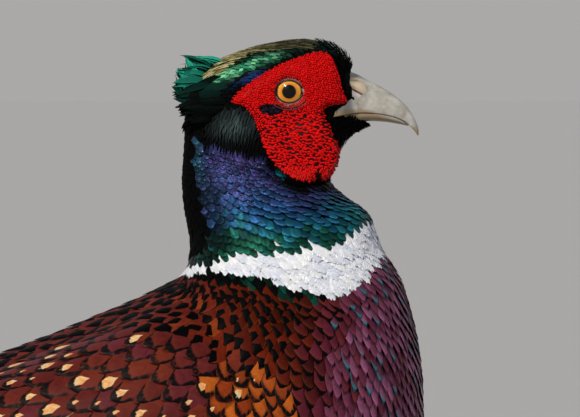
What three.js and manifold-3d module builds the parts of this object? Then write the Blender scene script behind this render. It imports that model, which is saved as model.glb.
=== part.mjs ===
// A cock ring-necked pheasant, standing alert on both feet, at life size.
// Millimetres, +X towards the bill, +Y to the bird's left, +Z up, with the feet on z = 0.
// The bird is drawn with its eye over x = 0. The last lines move it so that the origin is
// the middle of the ground under its whole length.
import * as THREE from 'three';
import { mergeVertices } from 'three/addons/utils/BufferGeometryUtils.js';
import Module from 'manifold-3d';

const wasm = await Module();
wasm.setup();
const { Manifold, Mesh: RawMesh } = wasm;

// Driving sizes
const GAP = 0.3; // between neighbouring pieces
const EYE_HEIGHT = 345; // floor to the middle of the eye
const EYE_RADIUS = 6.3;
const TAIL_LENGTH = 480; // longest tail feather
const TARSUS_LENGTH = 68; // ankle to the root of the toes
const TARSUS_RADIUS = 4.1;
const FOOT_SPREAD = 37; // mid-plane to the middle of a foot
const VANE = 0.6; // thickness of a large feather
const SEED = 20;

// Colours of the plumage and the bare parts
const finish = (color, roughness, metalness = 0) =>
  new THREE.MeshStandardMaterial({ color, roughness, metalness });
const FINISH = {
  crown: finish(0x14241f, 0.5, 0.3),
  face: finish(0xb3150f, 0.6),
  horn: finish(0xcfc6b4, 0.35),
  eye: finish(0xd98a2b, 0.1),
  neck: finish(0x1d3a63, 0.4, 0.5),
  collar: finish(0xe6e6e4, 0.8),
  breast: finish(0x5e1f26, 0.5, 0.3),
  mantle: finish(0x6e2a14, 0.6, 0.1),
  rump: finish(0x5c5a41, 0.7),
  wing: finish(0x7d5a3c, 0.75),
  tail: finish(0x8a6a42, 0.7),
  belly: finish(0x1e1512, 0.8),
  leg: finish(0x8b8478, 0.55),
  claw: finish(0x2f2a26, 0.4),
};

// The body is drawn as sections between its upper outline and its lower one, from the tail to
// the bill. They fan round the corner of the nape, then round the throat. back and front are
// [x, z] on the two outlines, half is the half width, and fuller moves the width towards back.
const STATIONS = [
  { at: 'tail root', back: [-246, 199], front: [-243, 172], half: 19, fuller: 0 },
  { at: 'rump', back: [-205, 217], front: [-212, 149], half: 35, fuller: -0.02 },
  { at: 'loin', back: [-160, 234.5], front: [-170, 129], half: 51, fuller: -0.06 },
  { at: 'back', back: [-117, 249.5], front: [-118, 119], half: 60, fuller: -0.08 },
  { at: 'shoulders', back: [-82, 262.5], front: [-62, 121], half: 62, fuller: -0.08 },
  { at: 'wing root', back: [-57, 272.7], front: [-10, 141], half: 59, fuller: -0.04 },
  { at: 'crop', back: [-43, 279], front: [27, 173], half: 54, fuller: 0 },
  { at: 'breast', back: [-36.5, 282.7], front: [42, 212], half: 49, fuller: 0.02 },
  { at: 'neck root', back: [-33.8, 286], front: [44.3, 247], half: 43, fuller: 0.02 },
  { at: 'ring', back: [-33, 289.5], front: [38.6, 279], half: 36, fuller: 0 },
  { at: 'ring top', back: [-32.6, 295.5], front: [28.6, 302], half: 29.5, fuller: 0 },
  { at: 'low neck', back: [-34.4, 305], front: [20, 309.3], half: 25, fuller: 0 },
  { at: 'mid neck', back: [-35.2, 316], front: [14.2, 314], half: 21.8, fuller: 0 },
  { at: 'high neck', back: [-34.4, 328], front: [13, 317.6], half: 19.4, fuller: 0 },
  { at: 'nape', back: [-33.8, 339.5], front: [14.2, 320.8], half: 17.6, fuller: 0.03 },
  { at: 'hind crown', back: [-29.5, 350.5], front: [15.8, 323.8], half: 17, fuller: 0.06 },
  { at: 'crown', back: [-16, 357.6], front: [17.8, 327.2], half: 16.6, fuller: 0.12 },
  { at: 'over the eye', back: [0.5, 361.2], front: [20.2, 330], half: 15, fuller: 0.2 },
  { at: 'brow', back: [12, 360.8], front: [22.4, 332.2], half: 12.6, fuller: 0.22 },
  { at: 'forehead', back: [18.2, 357.2], front: [24.6, 334], half: 9.8, fuller: 0.2 },
  { at: 'bill root', back: [20.6, 352.2], front: [26.8, 335], half: 6.6, fuller: 0.12 },
];
const ROUND = 24; // points round a body section
const SQUARENESS = 2.25; // 2 is an ellipse

// How far the lower outline is drawn in along the stations. The white ring stands nearly upright
// in front, and the breast swells out from under it.
const TUCK = [
  [8.5, 0], [9.05, 0.5], [9.3, 1.8], [9.5, 3.1], [9.72, 2.6], [10, 1], [11.5, 0.7], [12.3, 0],
];

// Where the body is parted, as places along the stations. The white ring hangs lower at the
// sides than in front and is narrow at the nape.
const towardsFront = (angle) => Math.max(0, -Math.cos(angle)) ** 3;
const towardsBack = (angle) => Math.max(0, Math.cos(angle)) ** 2;
const SEAM = {
  tail: () => 0,
  rump: () => 1.55,
  breast: () => 5.45,
  ringFoot: (angle) => 8.5 + towardsFront(angle) - 0.4 * towardsBack(angle),
  ringTop: (angle) => 9.55 + 0.45 * towardsFront(angle) - 0.5 * towardsBack(angle),
  throat: () => 12.8,
  bill: () => 20,
};

// Small tools

function random(seed) {
  let state = seed;
  return () => {
    state = (state * 1664525 + 1013904223) % 4294967296;
    return state / 4294967296;
  };
}

const mix = (a, b, share) => a + (b - a) * share;

// The value at x on the line through points [x, value], whose x go up.
function through(points, x) {
  const next = points.findIndex(([at]) => at >= x);
  if (next < 1) return points.at(next)[1];
  const [[x0, y0], [x1, y1]] = [points[next - 1], points[next]];
  return mix(y0, y1, (x - x0) / (x1 - x0));
}

const circle = (count, make) => Array.from({ length: count }, (_, j) =>
  make((2 * Math.PI * j) / count));

const flip = (face) => [face[0], face[2], face[1]];

function signedVolume(points, faces) {
  const sum = faces.reduce((total, [a, b, c]) => {
    return total + points[a].dot(new THREE.Vector3().crossVectors(points[b], points[c]));
  }, 0);
  return sum / 6;
}

// A closed solid from points and triangles, turned to face outwards.
function solidFrom(points, faces) {
  const facing = signedVolume(points, faces) < 0 ? faces.map(flip) : faces;
  const vertProperties = new Float32Array(points.flatMap((p) => [p.x, p.y, p.z]));
  const triVerts = new Uint32Array(facing.flat());
  return new Manifold(new RawMesh({ numProp: 3, vertProperties, triVerts }));
}

function solidOf(geometry, matrix = new THREE.Matrix4()) {
  const loose = geometry.index ? geometry.toNonIndexed() : geometry;
  const bare = new THREE.BufferGeometry();
  bare.setAttribute('position', loose.getAttribute('position').clone());
  const merged = mergeVertices(bare.applyMatrix4(matrix), 1e-4);
  const place = merged.attributes.position;
  const points = Array.from({ length: place.count }, (_, i) =>
    new THREE.Vector3().fromBufferAttribute(place, i));
  const index = Array.from(merged.index.array);
  const faces = [];
  for (let i = 0; i < index.length; i += 3) faces.push(index.slice(i, i + 3));
  return solidFrom(points, faces);
}

// Rings with the same number of points, joined one to the next, with a fan over each end.
function loft(rings) {
  const count = rings[0].length;
  const points = rings.flat();
  const faces = [];
  for (let i = 0; i + 1 < rings.length; i++) {
    for (let j = 0; j < count; j++) {
      const a = i * count + j;
      const b = i * count + ((j + 1) % count);
      faces.push([a, b, b + count], [a, b + count, a + count]);
    }
  }
  [[0, false], [rings.length - 1, true]].forEach(([i, last]) => {
    const middle = new THREE.Vector3();
    rings[i].forEach((p) => middle.addScaledVector(p, 1 / count));
    const hub = points.push(middle) - 1;
    for (let j = 0; j < count; j++) {
      const face = [hub, i * count + ((j + 1) % count), i * count + j];
      faces.push(last ? flip(face) : face);
    }
  });
  return solidFrom(points, faces);
}

// A thin sheet between two like grids of points, so that both faces have the same triangles.
function sheet(upper, lower) {
  const rows = upper.length;
  const across = upper[0].length;
  const points = [...upper.flat(), ...lower.flat()];
  const under = rows * across;
  const at = (i, j) => i * across + j;
  const faces = [];
  for (let i = 0; i + 1 < rows; i++) {
    for (let j = 0; j + 1 < across; j++) {
      const top = [
        [at(i, j), at(i, j + 1), at(i + 1, j + 1)],
        [at(i, j), at(i + 1, j + 1), at(i + 1, j)],
      ];
      top.forEach((face) => faces.push(face, flip(face).map((k) => k + under)));
    }
  }
  const edge = [];
  for (let j = 0; j < across; j++) edge.push(at(0, j));
  for (let i = 1; i < rows; i++) edge.push(at(i, across - 1));
  for (let j = across - 2; j >= 0; j--) edge.push(at(rows - 1, j));
  for (let i = rows - 2; i > 0; i--) edge.push(at(i, 0));
  edge.forEach((a, k) => {
    const b = edge[(k + 1) % edge.length];
    faces.push([a, a + under, b + under], [a, b + under, b]);
  });
  return solidFrom(points, faces);
}

// The pieces as one solid. Only the largest closed surface is kept.
function joined(pieces) {
  const parts = Manifold.union(pieces).decompose();
  return parts.reduce((best, part) => (part.volume() > best.volume() ? part : best));
}

function geometryOf(solid) {
  const raw = solid.getMesh();
  const place = new Float32Array(raw.numVert * 3);
  for (let i = 0; i < raw.numVert; i++) {
    place.set(raw.vertProperties.subarray(i * raw.numProp, i * raw.numProp + 3), i * 3);
  }
  const geometry = new THREE.BufferGeometry();
  geometry.setAttribute('position', new THREE.BufferAttribute(place, 3));
  geometry.setIndex(new THREE.BufferAttribute(raw.triVerts, 1));
  return geometry;
}

const bird = new THREE.Group();

function addNode(name, solid, material) {
  const mesh = new THREE.Mesh(geometryOf(solid), material);
  mesh.geometry.computeVertexNormals();
  mesh.name = name;
  bird.add(mesh);
}

// side is 1 for the bird's left and -1 for its right.
const BOTH_SIDES = [[1, 'left'], [-1, 'right']];

// The surface of the body

const outline = (pick) => new THREE.SplineCurve(
  STATIONS.map((station) => new THREE.Vector2(...pick(station))));
const backLine = outline((station) => station.back);
const frontLine = outline((station) => station.front);
const widthLine = outline((station) => [station.half, station.fuller]);

function section(t) {
  const share = THREE.MathUtils.clamp(t / (STATIONS.length - 1), 0, 1);
  const back = backLine.getPoint(share);
  const front = frontLine.getPoint(share);
  const width = widthLine.getPoint(share);
  const up = back.clone().sub(front).normalize();
  front.addScaledVector(up, through(TUCK, t));
  const halfDepth = back.distanceTo(front) / 2;
  return {
    middle: new THREE.Vector3((back.x + front.x) / 2, 0, (back.y + front.y) / 2),
    up: new THREE.Vector3(up.x, 0, up.y),
    along: new THREE.Vector3(up.y, 0, -up.x),
    halfDepth,
    half: width.x,
    fuller: width.y,
  };
}

// angle is 0 on the upper outline and pi on the lower one, and is positive on the bird's left.
function onBody(t, angle, grow = 0, shift = 0) {
  const { middle, up, along, halfDepth, half, fuller } = section(t);
  const power = (value) => Math.sign(value) * Math.abs(value) ** (2 / SQUARENESS);
  const high = power(Math.cos(angle));
  const wide = power(Math.sin(angle)) * (1 + fuller * high);
  return middle.clone()
    .addScaledVector(up, high * (halfDepth + grow))
    .addScaledVector(along, shift)
    .setY(wide * (half + grow));
}

// The lengths of the body between the seams, and the steps that each is drawn in.
const LENGTHS = {
  rump: [SEAM.tail, SEAM.rump, 4],
  torso: [SEAM.rump, SEAM.breast, 9],
  breast: [SEAM.breast, SEAM.ringFoot, 7],
  collar: [SEAM.ringFoot, SEAM.ringTop, 3],
  neck: [SEAM.ringTop, SEAM.throat, 6],
  head: [SEAM.throat, SEAM.bill, 12],
};

// One length of the body. Its ends are drawn back by half the gap, or in its grown form, by
// which other pieces are cut, pushed out as far.
function bodyLength(name, grow = 0) {
  const [from, to, steps] = LENGTHS[name];
  const inset = grow > 0 ? -GAP / 2 : GAP / 2;
  const rings = [];
  for (let i = 0; i <= steps; i++) {
    const shift = ((i === 0) - (i === steps)) * inset;
    rings.push(Array.from({ length: ROUND }, (_, j) => {
      const angle = (2 * Math.PI * j) / ROUND;
      return onBody(mix(from(angle), to(angle), i / steps), angle, grow, shift);
    }));
  }
  return loft(rings);
}

const grown = (names, grow) => Manifold.union(names.map((name) => bodyLength(name, grow)));
const trunkShell = grown(['rump', 'torso', 'breast'], GAP);
const headShell = grown(['collar', 'neck', 'head'], GAP);

// The outline of a feather: half its width as a share, at shares of the way from root to tip.
const ROUNDED = [[0, 0.6], [0.5, 1], [0.88, 0.85], [1, 0.3]];
const POINTED = [[0, 0.5], [0.2, 0.95], [0.5, 0.85], [0.8, 0.55], [1, 0.12]];

// A feather's vane. place(along, across, height) puts a point of it in space: along runs from
// 0 at the root to 1 at the tip, across from -1 to 1 over the width, and height is in mm.
function vane(place, outline, columns = [-1, 1], thick = VANE) {
  const face = (side) => outline.map(([along, wide]) => columns.map((across) =>
    place(along, across * wide, (side * thick) / 2)));
  return sheet(face(1), face(-1));
}

// Trunk and neck

addNode('rump', bodyLength('rump'), FINISH.rump);
addNode('torso', bodyLength('torso'), FINISH.mantle);
addNode('breast', bodyLength('breast'), FINISH.breast);
addNode('collar', bodyLength('collar'), FINISH.collar);
addNode('neck', bodyLength('neck'), FINISH.neck);

// Bill

// culmen is the ridge above, edge the cutting edge below it, as [x, z].
const UPPER_BILL = [
  { culmen: [14, 352.5], edge: [13.6, 336.4], half: 9.4 },
  { culmen: [18, 352], edge: [18.6, 337.4], half: 8.2 },
  { culmen: [22.5, 350.6], edge: [23.4, 338], half: 6.6 },
  { culmen: [27, 348.2], edge: [28.2, 337.8], half: 5.5 },
  { culmen: [31.6, 345.8], edge: [32.4, 337.2], half: 4.7 },
  { culmen: [35.8, 343], edge: [36, 336.2], half: 3.9 },
  { culmen: [39.2, 339.8], edge: [38.8, 334.8], half: 3 },
  { culmen: [41.6, 336.2], edge: [40.6, 333], half: 2.1 },
  { culmen: [43, 332.6], edge: [42, 331.4], half: 1.2 },
  { culmen: [43.2, 330.3], edge: [42.8, 330.1], half: 0.4 },
];
const LOWER_BILL = [
  { culmen: [14, 335.8], edge: [14.6, 331.6], half: 7.6 },
  { culmen: [18.6, 336.8], edge: [19, 332.6], half: 6.8 },
  { culmen: [23.4, 337.4], edge: [23.8, 333.8], half: 5.6 },
  { culmen: [28.2, 337.2], edge: [28.6, 334.1], half: 4.6 },
  { culmen: [32.4, 336.6], edge: [32.6, 334], half: 3.8 },
  { culmen: [36, 335.6], edge: [35.8, 333.7], half: 2.9 },
  { culmen: [38.6, 334.3], edge: [38.4, 333.4], half: 1.9 },
  { culmen: [39.8, 333.6], edge: [39.7, 333.2], half: 0.7 },
];
const BILL_ROUND = 14;

// A half bill is an arch over a nearly flat floor, the arch upwards or downwards.
function halfBill(stations, arch) {
  const line = (pick) => new THREE.SplineCurve(
    stations.map((station) => new THREE.Vector2(...pick(station))));
  const ridge = line((station) => station.culmen);
  const edge = line((station) => station.edge);
  const width = line((station) => [station.half, 0]);
  const steps = stations.length - 1;
  const rings = Array.from({ length: steps + 1 }, (_, i) => {
    const high = ridge.getPoint(i / steps);
    const low = edge.getPoint(i / steps);
    const half = width.getPoint(i / steps).x;
    const [base, peak] = arch > 0 ? [low, high] : [high, low];
    return Array.from({ length: BILL_ROUND }, (_, j) => {
      const angle = (2 * Math.PI * j) / BILL_ROUND;
      const rise = Math.cos(angle);
      const share = rise > 0 ? rise ** 0.85 : rise * 0.04;
      const centre = base.clone().lerp(peak, share);
      const wide = Math.sign(Math.sin(angle)) * Math.abs(Math.sin(angle)) ** 0.9;
      return new THREE.Vector3(centre.x, wide * half, centre.y);
    });
  });
  return loft(rings);
}

const ellipsoid = (x, y, z, rx, ry, rz, turn = 0, around = 8, high = 5) => solidOf(
  new THREE.SphereGeometry(1, around, high),
  new THREE.Matrix4().makeTranslation(x, y, z)
    .multiply(new THREE.Matrix4().makeRotationY(turn))
    .scale(new THREE.Vector3(rx, ry, rz)));

// The soft cover over each nostril, and the slit under it.
const NOSTRIL = { at: [23.4, 5.2, 346.2], radii: [4, 1.7, 2.3], droop: 0.55 };
const SLIT = { at: [23.2, 6.6, 343.7], radii: [2.6, 1.9, 0.6] };
const drooping = ({ at: [x, y, z], radii }, side) =>
  ellipsoid(x, side * y, z, ...radii, NOSTRIL.droop);
const nostrilPieces = BOTH_SIDES.map(([side]) => ({
  cover: drooping(NOSTRIL, side),
  slit: drooping(SLIT, side),
}));
const upperBill = joined([halfBill(UPPER_BILL, 1), ...nostrilPieces.map((n) => n.cover)])
  .subtract(Manifold.union(nostrilPieces.map((n) => n.slit)));
addNode('bill_upper', joined([upperBill.subtract(headShell)]), FINISH.horn);
addNode('bill_lower', joined([halfBill(LOWER_BILL, -1).subtract(headShell)]), FINISH.horn);

// Eyes, lids and the red face

const EYE_DEPTH = 11.6; // mid-plane to the middle of an eyeball
const LID_RADIUS = 4.9;
const LID_THICKNESS = 1.15;
const LID_OUT = 4.6; // from the eyeball's middle outwards
const LID_SHAPE = [1.06, 0.9, 1]; // longer than it is high
const eyeBall = (side, radius) => solidOf(
  new THREE.SphereGeometry(radius, 14, 8),
  new THREE.Matrix4().makeTranslation(0, side * EYE_DEPTH, EYE_HEIGHT));
const lid = (side) => solidOf(
  new THREE.TorusGeometry(LID_RADIUS, LID_THICKNESS, 5, 16),
  new THREE.Matrix4().makeTranslation(0, side * (EYE_DEPTH + LID_OUT), EYE_HEIGHT)
    .multiply(new THREE.Matrix4().makeRotationX(Math.PI / 2)
      .scale(new THREE.Vector3(...LID_SHAPE))));

// The bare red skin as seen from the side, as [x, z] from its hind point, over the brow.
const FACE_OUTLINE = [
  [-19.5, 341.8], [-11.5, 349], [-2.8, 354.1], [5.5, 357.2], [12.4, 358], [15.8, 352.8],
  [17.6, 345.6], [19, 341.4], [12.4, 340], [12.2, 336], [15.6, 329], [16.8, 323.6],
  [13.4, 317], [7, 315.4], [0, 317.6], [-6, 322.6], [-10.4, 332.6], [-14.2, 339.8],
];
const FACE_THICKNESS = 1.5;
const faceCurve = new THREE.CatmullRomCurve3(
  FACE_OUTLINE.map(([x, z]) => new THREE.Vector3(x, z, 0)), true, 'catmullrom', 0.4);
const facePoints = faceCurve.getPoints(30).slice(0, -1).map((p) => new THREE.Vector2(p.x, p.y));

// The same outline as a block on one side of the head, clear of the middle.
const FACE_INNER = 7;
const FACE_BLOCK_DEPTH = 30;
function faceBlock(side) {
  const depth = FACE_BLOCK_DEPTH;
  const block = new THREE.ExtrudeGeometry(new THREE.Shape(facePoints), {
    depth, bevelEnabled: false, steps: 1,
  });
  // A quarter turn about x sends the depth to -y, so the left block starts at its far side.
  const start = side > 0 ? FACE_INNER + depth : -FACE_INNER;
  return solidOf(block, new THREE.Matrix4().makeTranslation(0, start, 0)
    .multiply(new THREE.Matrix4().makeRotationX(Math.PI / 2)));
}

const faceShell = grown(['neck', 'head'], FACE_THICKNESS);
// The hanging lobe stands off the cheek more than the rest.
const LOBE = { at: [6, 13.6, 327], radii: [11.5, 5.2, 12.5] };
const lobe = (side) =>
  ellipsoid(LOBE.at[0], side * LOBE.at[1], LOBE.at[2], ...LOBE.radii, 0, 10, 8);

// Swollen beads in rows over the red skin, larger towards the lobe's hem. A bead goes where the
// skin is met by a line across the head, which is found on a copy of the skin's surface.
const BEAD_ROWS = { first: [-20, 317], rows: 9, across: 8, spacing: 6.4, closer: 0.88 };
const BEAD_SIZE = { small: 1.7, large: 2.5, from: 338, over: 20 }; // by height
const BEAD_SINK = 0.5;
const BEAD_MARGIN = 2;
const EYE_MARGIN = 9;

function inside(points, x, z) {
  let odd = false;
  points.forEach((a, i) => {
    const b = points[(i + 1) % points.length];
    const crosses = (a.y > z) !== (b.y > z);
    if (crosses && x < ((b.x - a.x) * (z - a.y)) / (b.y - a.y) + a.x) odd = !odd;
  });
  return odd;
}

function beads(skin, side) {
  const surface = new THREE.Mesh(geometryOf(skin), new THREE.MeshBasicMaterial());
  const draw = random(SEED);
  const { first, rows, across, spacing, closer } = BEAD_ROWS;
  const found = [];
  for (let row = 0; row < rows; row++) {
    for (let i = 0; i < across; i++) {
      const x = first[0] + (i + (row % 2) / 2) * spacing + draw();
      const z = first[1] + row * spacing * closer + draw();
      const clear = [[1, 0], [-1, 0], [0, 1], [0, -1]].every(([dx, dz]) =>
        inside(facePoints, x + dx * BEAD_MARGIN, z + dz * BEAD_MARGIN));
      if (!clear || Math.hypot(x, z - EYE_HEIGHT) < EYE_MARGIN) continue;
      const ray = new THREE.Raycaster(
        new THREE.Vector3(x, side * 100, z), new THREE.Vector3(0, -side, 0));
      const [hit] = ray.intersectObject(surface);
      if (!hit) continue;
      const low = THREE.MathUtils.clamp((BEAD_SIZE.from - z) / BEAD_SIZE.over, 0, 1);
      const size = mix(BEAD_SIZE.small, BEAD_SIZE.large, low);
      const turn = new THREE.Euler(draw() * 3, draw() * 3, draw() * 3);
      found.push(solidOf(new THREE.OctahedronGeometry(size), new THREE.Matrix4()
        .makeTranslation(x, hit.point.y - side * BEAD_SINK, z)
        .multiply(new THREE.Matrix4().makeRotationFromEuler(turn))));
    }
  }
  return found;
}

// The opening for the eye and its lids, as a bar across the head on one side.
const OPENING = { radius: LID_RADIUS + 1.6, length: 40, middle: 22 };

BOTH_SIDES.forEach(([side, word]) => {
  const hole = solidOf(
    new THREE.CylinderGeometry(OPENING.radius, OPENING.radius, OPENING.length, 16),
    new THREE.Matrix4().makeTranslation(0, side * OPENING.middle, EYE_HEIGHT));
  const skin = Manifold.union(faceShell, lobe(side)).intersect(faceBlock(side));
  const beaded = joined([skin, ...beads(skin, side)]).subtract(headShell).subtract(hole);
  addNode(`wattle_${word}`, joined([beaded]), FINISH.face);
  addNode(`eye_${word}`, eyeBall(side, EYE_RADIUS), FINISH.eye);
});

// Tufts of longer feathers on both sides of the hind crown, and the fringe below them. root is
// [station, angle], and reach is how far back, up and out the tip goes.
const TUFTS = [
  { root: [16, 0.5], reach: [-19, 1.5, 4] },
  { root: [15.8, 0.85], reach: [-20, -2.5, 5.5] },
  { root: [15.6, 0.15], reach: [-11, 2, 0.5] },
  { root: [15.3, 0.55], reach: [-13, -5, 3.5] },
  { root: [14.9, 0.12], reach: [-9, -3, 0.3] },
  { root: [14.4, 0.5], reach: [-9, -8, 2] },
];
const TUFT_WIDTH = 3.4;
const TUFT_DEPTH = 2.6;
const TUFT_BOW = 1.5;

function tuft({ root, reach }, side) {
  const start = onBody(root[0], side * root[1], -TUFT_DEPTH);
  const way = new THREE.Vector3(reach[0], side * reach[2], reach[1]);
  const out = onBody(root[0], side * root[1], 1).sub(start).normalize();
  const across = new THREE.Vector3().crossVectors(way, out).normalize();
  const lift = new THREE.Vector3().crossVectors(across, way).normalize();
  return vane((along, share, height) => start.clone()
    .addScaledVector(way, along)
    .addScaledVector(across, share * TUFT_WIDTH)
    .addScaledVector(lift, height + TUFT_BOW * Math.sin(along * Math.PI)), ROUNDED);
}

const sockets = BOTH_SIDES.map(([side]) => eyeBall(side, EYE_RADIUS + GAP));
const headPieces = [
  bodyLength('head'),
  ...BOTH_SIDES.flatMap(([side]) => [lid(side), ...TUFTS.map((each) => tuft(each, side))]),
];
addNode('head', joined([joined(headPieces).subtract(Manifold.union(sockets))]), FINISH.crown);

// Wings

// The arm of a folded wing under its coverts, from the bend of the wing back: the angles of
// its edges at each station, and how far it stands off the body.
const ARM = [
  { t: 6.35, high: 1.1, low: 1.3, off: 1.8 },
  { t: 6, high: 0.84, low: 1.62, off: 6.2 },
  { t: 5.4, high: 0.6, low: 1.9, off: 8.4 },
  { t: 4.6, high: 0.52, low: 1.98, off: 8.2 },
  { t: 3.8, high: 0.54, low: 1.96, off: 7 },
  { t: 3, high: 0.6, low: 1.86, off: 5.4 },
  { t: 2.4, high: 0.72, low: 1.7, off: 3.2 },
];
const ARM_ACROSS = 5;
const ARM_EDGE = 1.2;

function arm(side) {
  const grid = (height) => ARM.map(({ t, high, low, off }) =>
    Array.from({ length: ARM_ACROSS + 1 }, (_, j) => {
      const share = j / ARM_ACROSS;
      const dome = Math.sin(Math.PI * share) ** 0.3;
      return onBody(t, side * mix(high, low, share), height(off, dome));
    }));
  return sheet(grid((off, dome) => mix(ARM_EDGE, off, dome)), grid(() => -ARM_EDGE));
}

// Tiers of feathers. first is the lowest one and last the one nearest the back, each from root
// to tip as [station, angle], and the rest lie evenly between them. height is how far a tier
// stands off the body along the stations. Every feather lies step above the one below it, and
// its lower edge is raised by shingle, so that none crosses its neighbour.
const WING_TIERS = [
  { of: 'primaries', count: 4, wide: 9, step: 0.9, shingle: 0.3,
    height: [[0, 4.8], [1, 3.2], [2.6, 2.2], [3.2, 1.9]],
    first: [[3.1, 1.66], [0.8, 1.42]], last: [[3, 1.3], [0.12, 1.12]] },
  { of: 'secondaries', count: 6, wide: 12.5, step: 0.6, shingle: 0.7,
    height: [[0.8, 5.4], [2.2, 5], [3.3, 4], [4.2, 2]],
    first: [[4.2, 1.84], [1.9, 1.66]], last: [[4, 0.8], [0.95, 0.8]] },
  { of: 'greater coverts', count: 7, wide: 10.5, step: 0.14, shingle: 0.9,
    height: [[2.5, 9.4], [3.6, 8.8], [4.6, 7.8], [5.05, 4.4]],
    first: [[5.15, 1.83], [3.75, 1.88]], last: [[5.05, 0.72], [2.65, 0.74]] },
  { of: 'median coverts', count: 5, wide: 12, step: 0.2, shingle: 0.9,
    height: [[3.6, 11], [4.6, 10.4], [5.3, 9], [5.75, 4.4]],
    first: [[5.75, 1.72], [4.75, 1.84]], last: [[5.7, 0.8], [3.7, 0.7]] },
];

function wingFeather(tier, index, side, length) {
  const share = index / (tier.count - 1);
  const [root, tip] = [0, 1].map((end) =>
    [0, 1].map((k) => mix(tier.first[end][k], tier.last[end][k], share)));
  return vane((along, across, height) => {
    const t = mix(root[0], tip[0], along * length);
    const angle = mix(root[1], tip[1], along);
    const off = through(tier.height, t) + index * tier.step + across * tier.shingle + height;
    return onBody(t, side * (angle + (across * tier.wide) / section(t).half), off);
  }, ROUNDED, [-1, 0, 1]);
}

BOTH_SIDES.forEach(([side, word]) => {
  const draw = random(SEED);
  const feathers = WING_TIERS.flatMap((tier) => Array.from({ length: tier.count }, (_, i) =>
    wingFeather(tier, i, side, mix(0.96, 1.03, draw()))));
  const wing = joined([arm(side), ...feathers]).subtract(trunkShell);
  addNode(`wing_${word}`, joined([wing]), FINISH.wing);
});

// Tail

// The eighteen tail feathers as nine pairs, from the middle pair out, and the coverts over and
// under their roots. Each lies under the one before it, with its outer edge drooping.
const TAIL_SHARES = [1, 0.86, 0.7, 0.56, 0.46, 0.385, 0.33, 0.28, 0.245];
const TAIL_ROOT = { x: -245, z: 186.5 };
const TAIL_SINK = 0.165; // its slope towards the tip
const TAIL_LAYER = 1.35; // from one feather down to the next
const TAIL_FAN = 0.017; // from one feather's direction to the next
const TAIL_DROOP = 0.3;
const TAIL_SAG = 10;
const TAIL_SEAM = 0.2; // from the mid-plane to the inner edges
const TAIL_START = 4; // behind the end of the body
const TAIL_GATHER = 0.75; // how much of its distance from the mid-plane a feather loses

const TAIL_TIER = TAIL_SHARES.map((share, pair) => ({
  length: share * TAIL_LENGTH,
  wide: mix(13, 11.5, pair / 8),
  y: 4 + pair * 1.3,
  spread: pair * TAIL_FAN,
  z: 5.6 - pair * TAIL_LAYER,
  outline: POINTED,
}));
const UPPER_COVERTS = [
  { length: 128, wide: 10, y: 5, spread: 0.02, z: 10.3, outline: ROUNDED },
  { length: 104, wide: 10, y: 12, spread: 0.08, z: 8.8, outline: ROUNDED },
  { length: 80, wide: 9, y: 16, spread: 0.12, z: 7.2, outline: ROUNDED },
];
const UNDER_COVERTS = [
  { length: 84, wide: 10, y: 6, spread: 0.02, z: -8, outline: ROUNDED },
  { length: 70, wide: 9, y: 12, spread: 0.08, z: -6.6, outline: ROUNDED },
];

function tailFeather({ length, wide, y, spread, z, outline }, side) {
  return vane((along, across, height) => {
    const far = along * length;
    const axis = y * (1 - TAIL_GATHER * along) + far * spread;
    const out = Math.max(TAIL_SEAM, axis + across * wide);
    const sag = TAIL_SAG * ((far / TAIL_LENGTH) ** 2 - far / TAIL_LENGTH);
    return new THREE.Vector3(
      TAIL_ROOT.x - TAIL_START - far,
      side * out,
      TAIL_ROOT.z + z - out * TAIL_DROOP - far * TAIL_SINK - sag + height);
  }, outline);
}

// The feathers grow out of a rounded stump.
const STUMP = { length: 40, wide: 17.5, deep: 12.6, steps: 3 };
const stump = loft(Array.from({ length: STUMP.steps + 1 }, (_, i) => {
  const share = i / STUMP.steps;
  const size = Math.sqrt(1 - 0.92 * share ** 2);
  return circle(12, (angle) => new THREE.Vector3(
    TAIL_ROOT.x - share * STUMP.length,
    Math.sin(angle) * STUMP.wide * size,
    TAIL_ROOT.z - share * STUMP.length * TAIL_SINK + Math.cos(angle) * STUMP.deep * size));
})).subtract(trunkShell);
const tailFeathers = [...TAIL_TIER, ...UPPER_COVERTS, ...UNDER_COVERTS];
addNode('tail', joined([
  stump,
  ...BOTH_SIDES.flatMap(([side]) => tailFeathers.map((feather) => tailFeather(feather, side))),
]), FINISH.tail);

// Legs

const LEGS = [
  { side: 1, word: 'left', ahead: 12 },
  { side: -1, word: 'right', ahead: -6 },
];
const STANCE_X = -104; // where the legs meet the ground, before each one's own step ahead
const HIP = { x: -82, y: 33, z: 166 };
const ANKLE = { back: 17, z: 13 + TARSUS_LENGTH * 0.965 };
const HUB = { radius: 5.6, z: 6.4 }; // the ball that the toes spread from
const FOOT_RISE = 1.6; // from the ball's middle to the end of the bare leg
const SPUR = { at: 0.3, length: 19, radius: 3 }; // at its share of the way up the bare leg
const THIGH_RADII = [22, 26, 25, 19, 12.5, 8.6, 6.8];

// The feathered part of the leg, its radius given at even steps from the hip to the ankle.
function thigh(hip, ankle) {
  const way = ankle.clone().sub(hip).normalize();
  const across = new THREE.Vector3(0, 1, 0);
  const front = new THREE.Vector3().crossVectors(across, way).normalize();
  return loft(THIGH_RADII.map((radius, i) => {
    const middle = hip.clone().lerp(ankle, i / (THIGH_RADII.length - 1));
    return circle(12, (angle) => middle.clone()
      .addScaledVector(front, radius * Math.cos(angle))
      .addScaledVector(across, radius * 0.8 * Math.sin(angle)));
  }));
}

// The bare part: its radius at shares of the way down from the ankle. Down its front run
// overlapping plates, each standing out at its lower edge.
const TARSUS_PROFILE = [
  [-0.07, 0.7], [0, 1.5], [0.07, 1.4], [0.2, 1.02], [0.5, 1], [0.8, 1.02], [1, 1.3],
];
const TARSUS_PLATES = 9;
const PLATE_RISE = 0.5;

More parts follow.
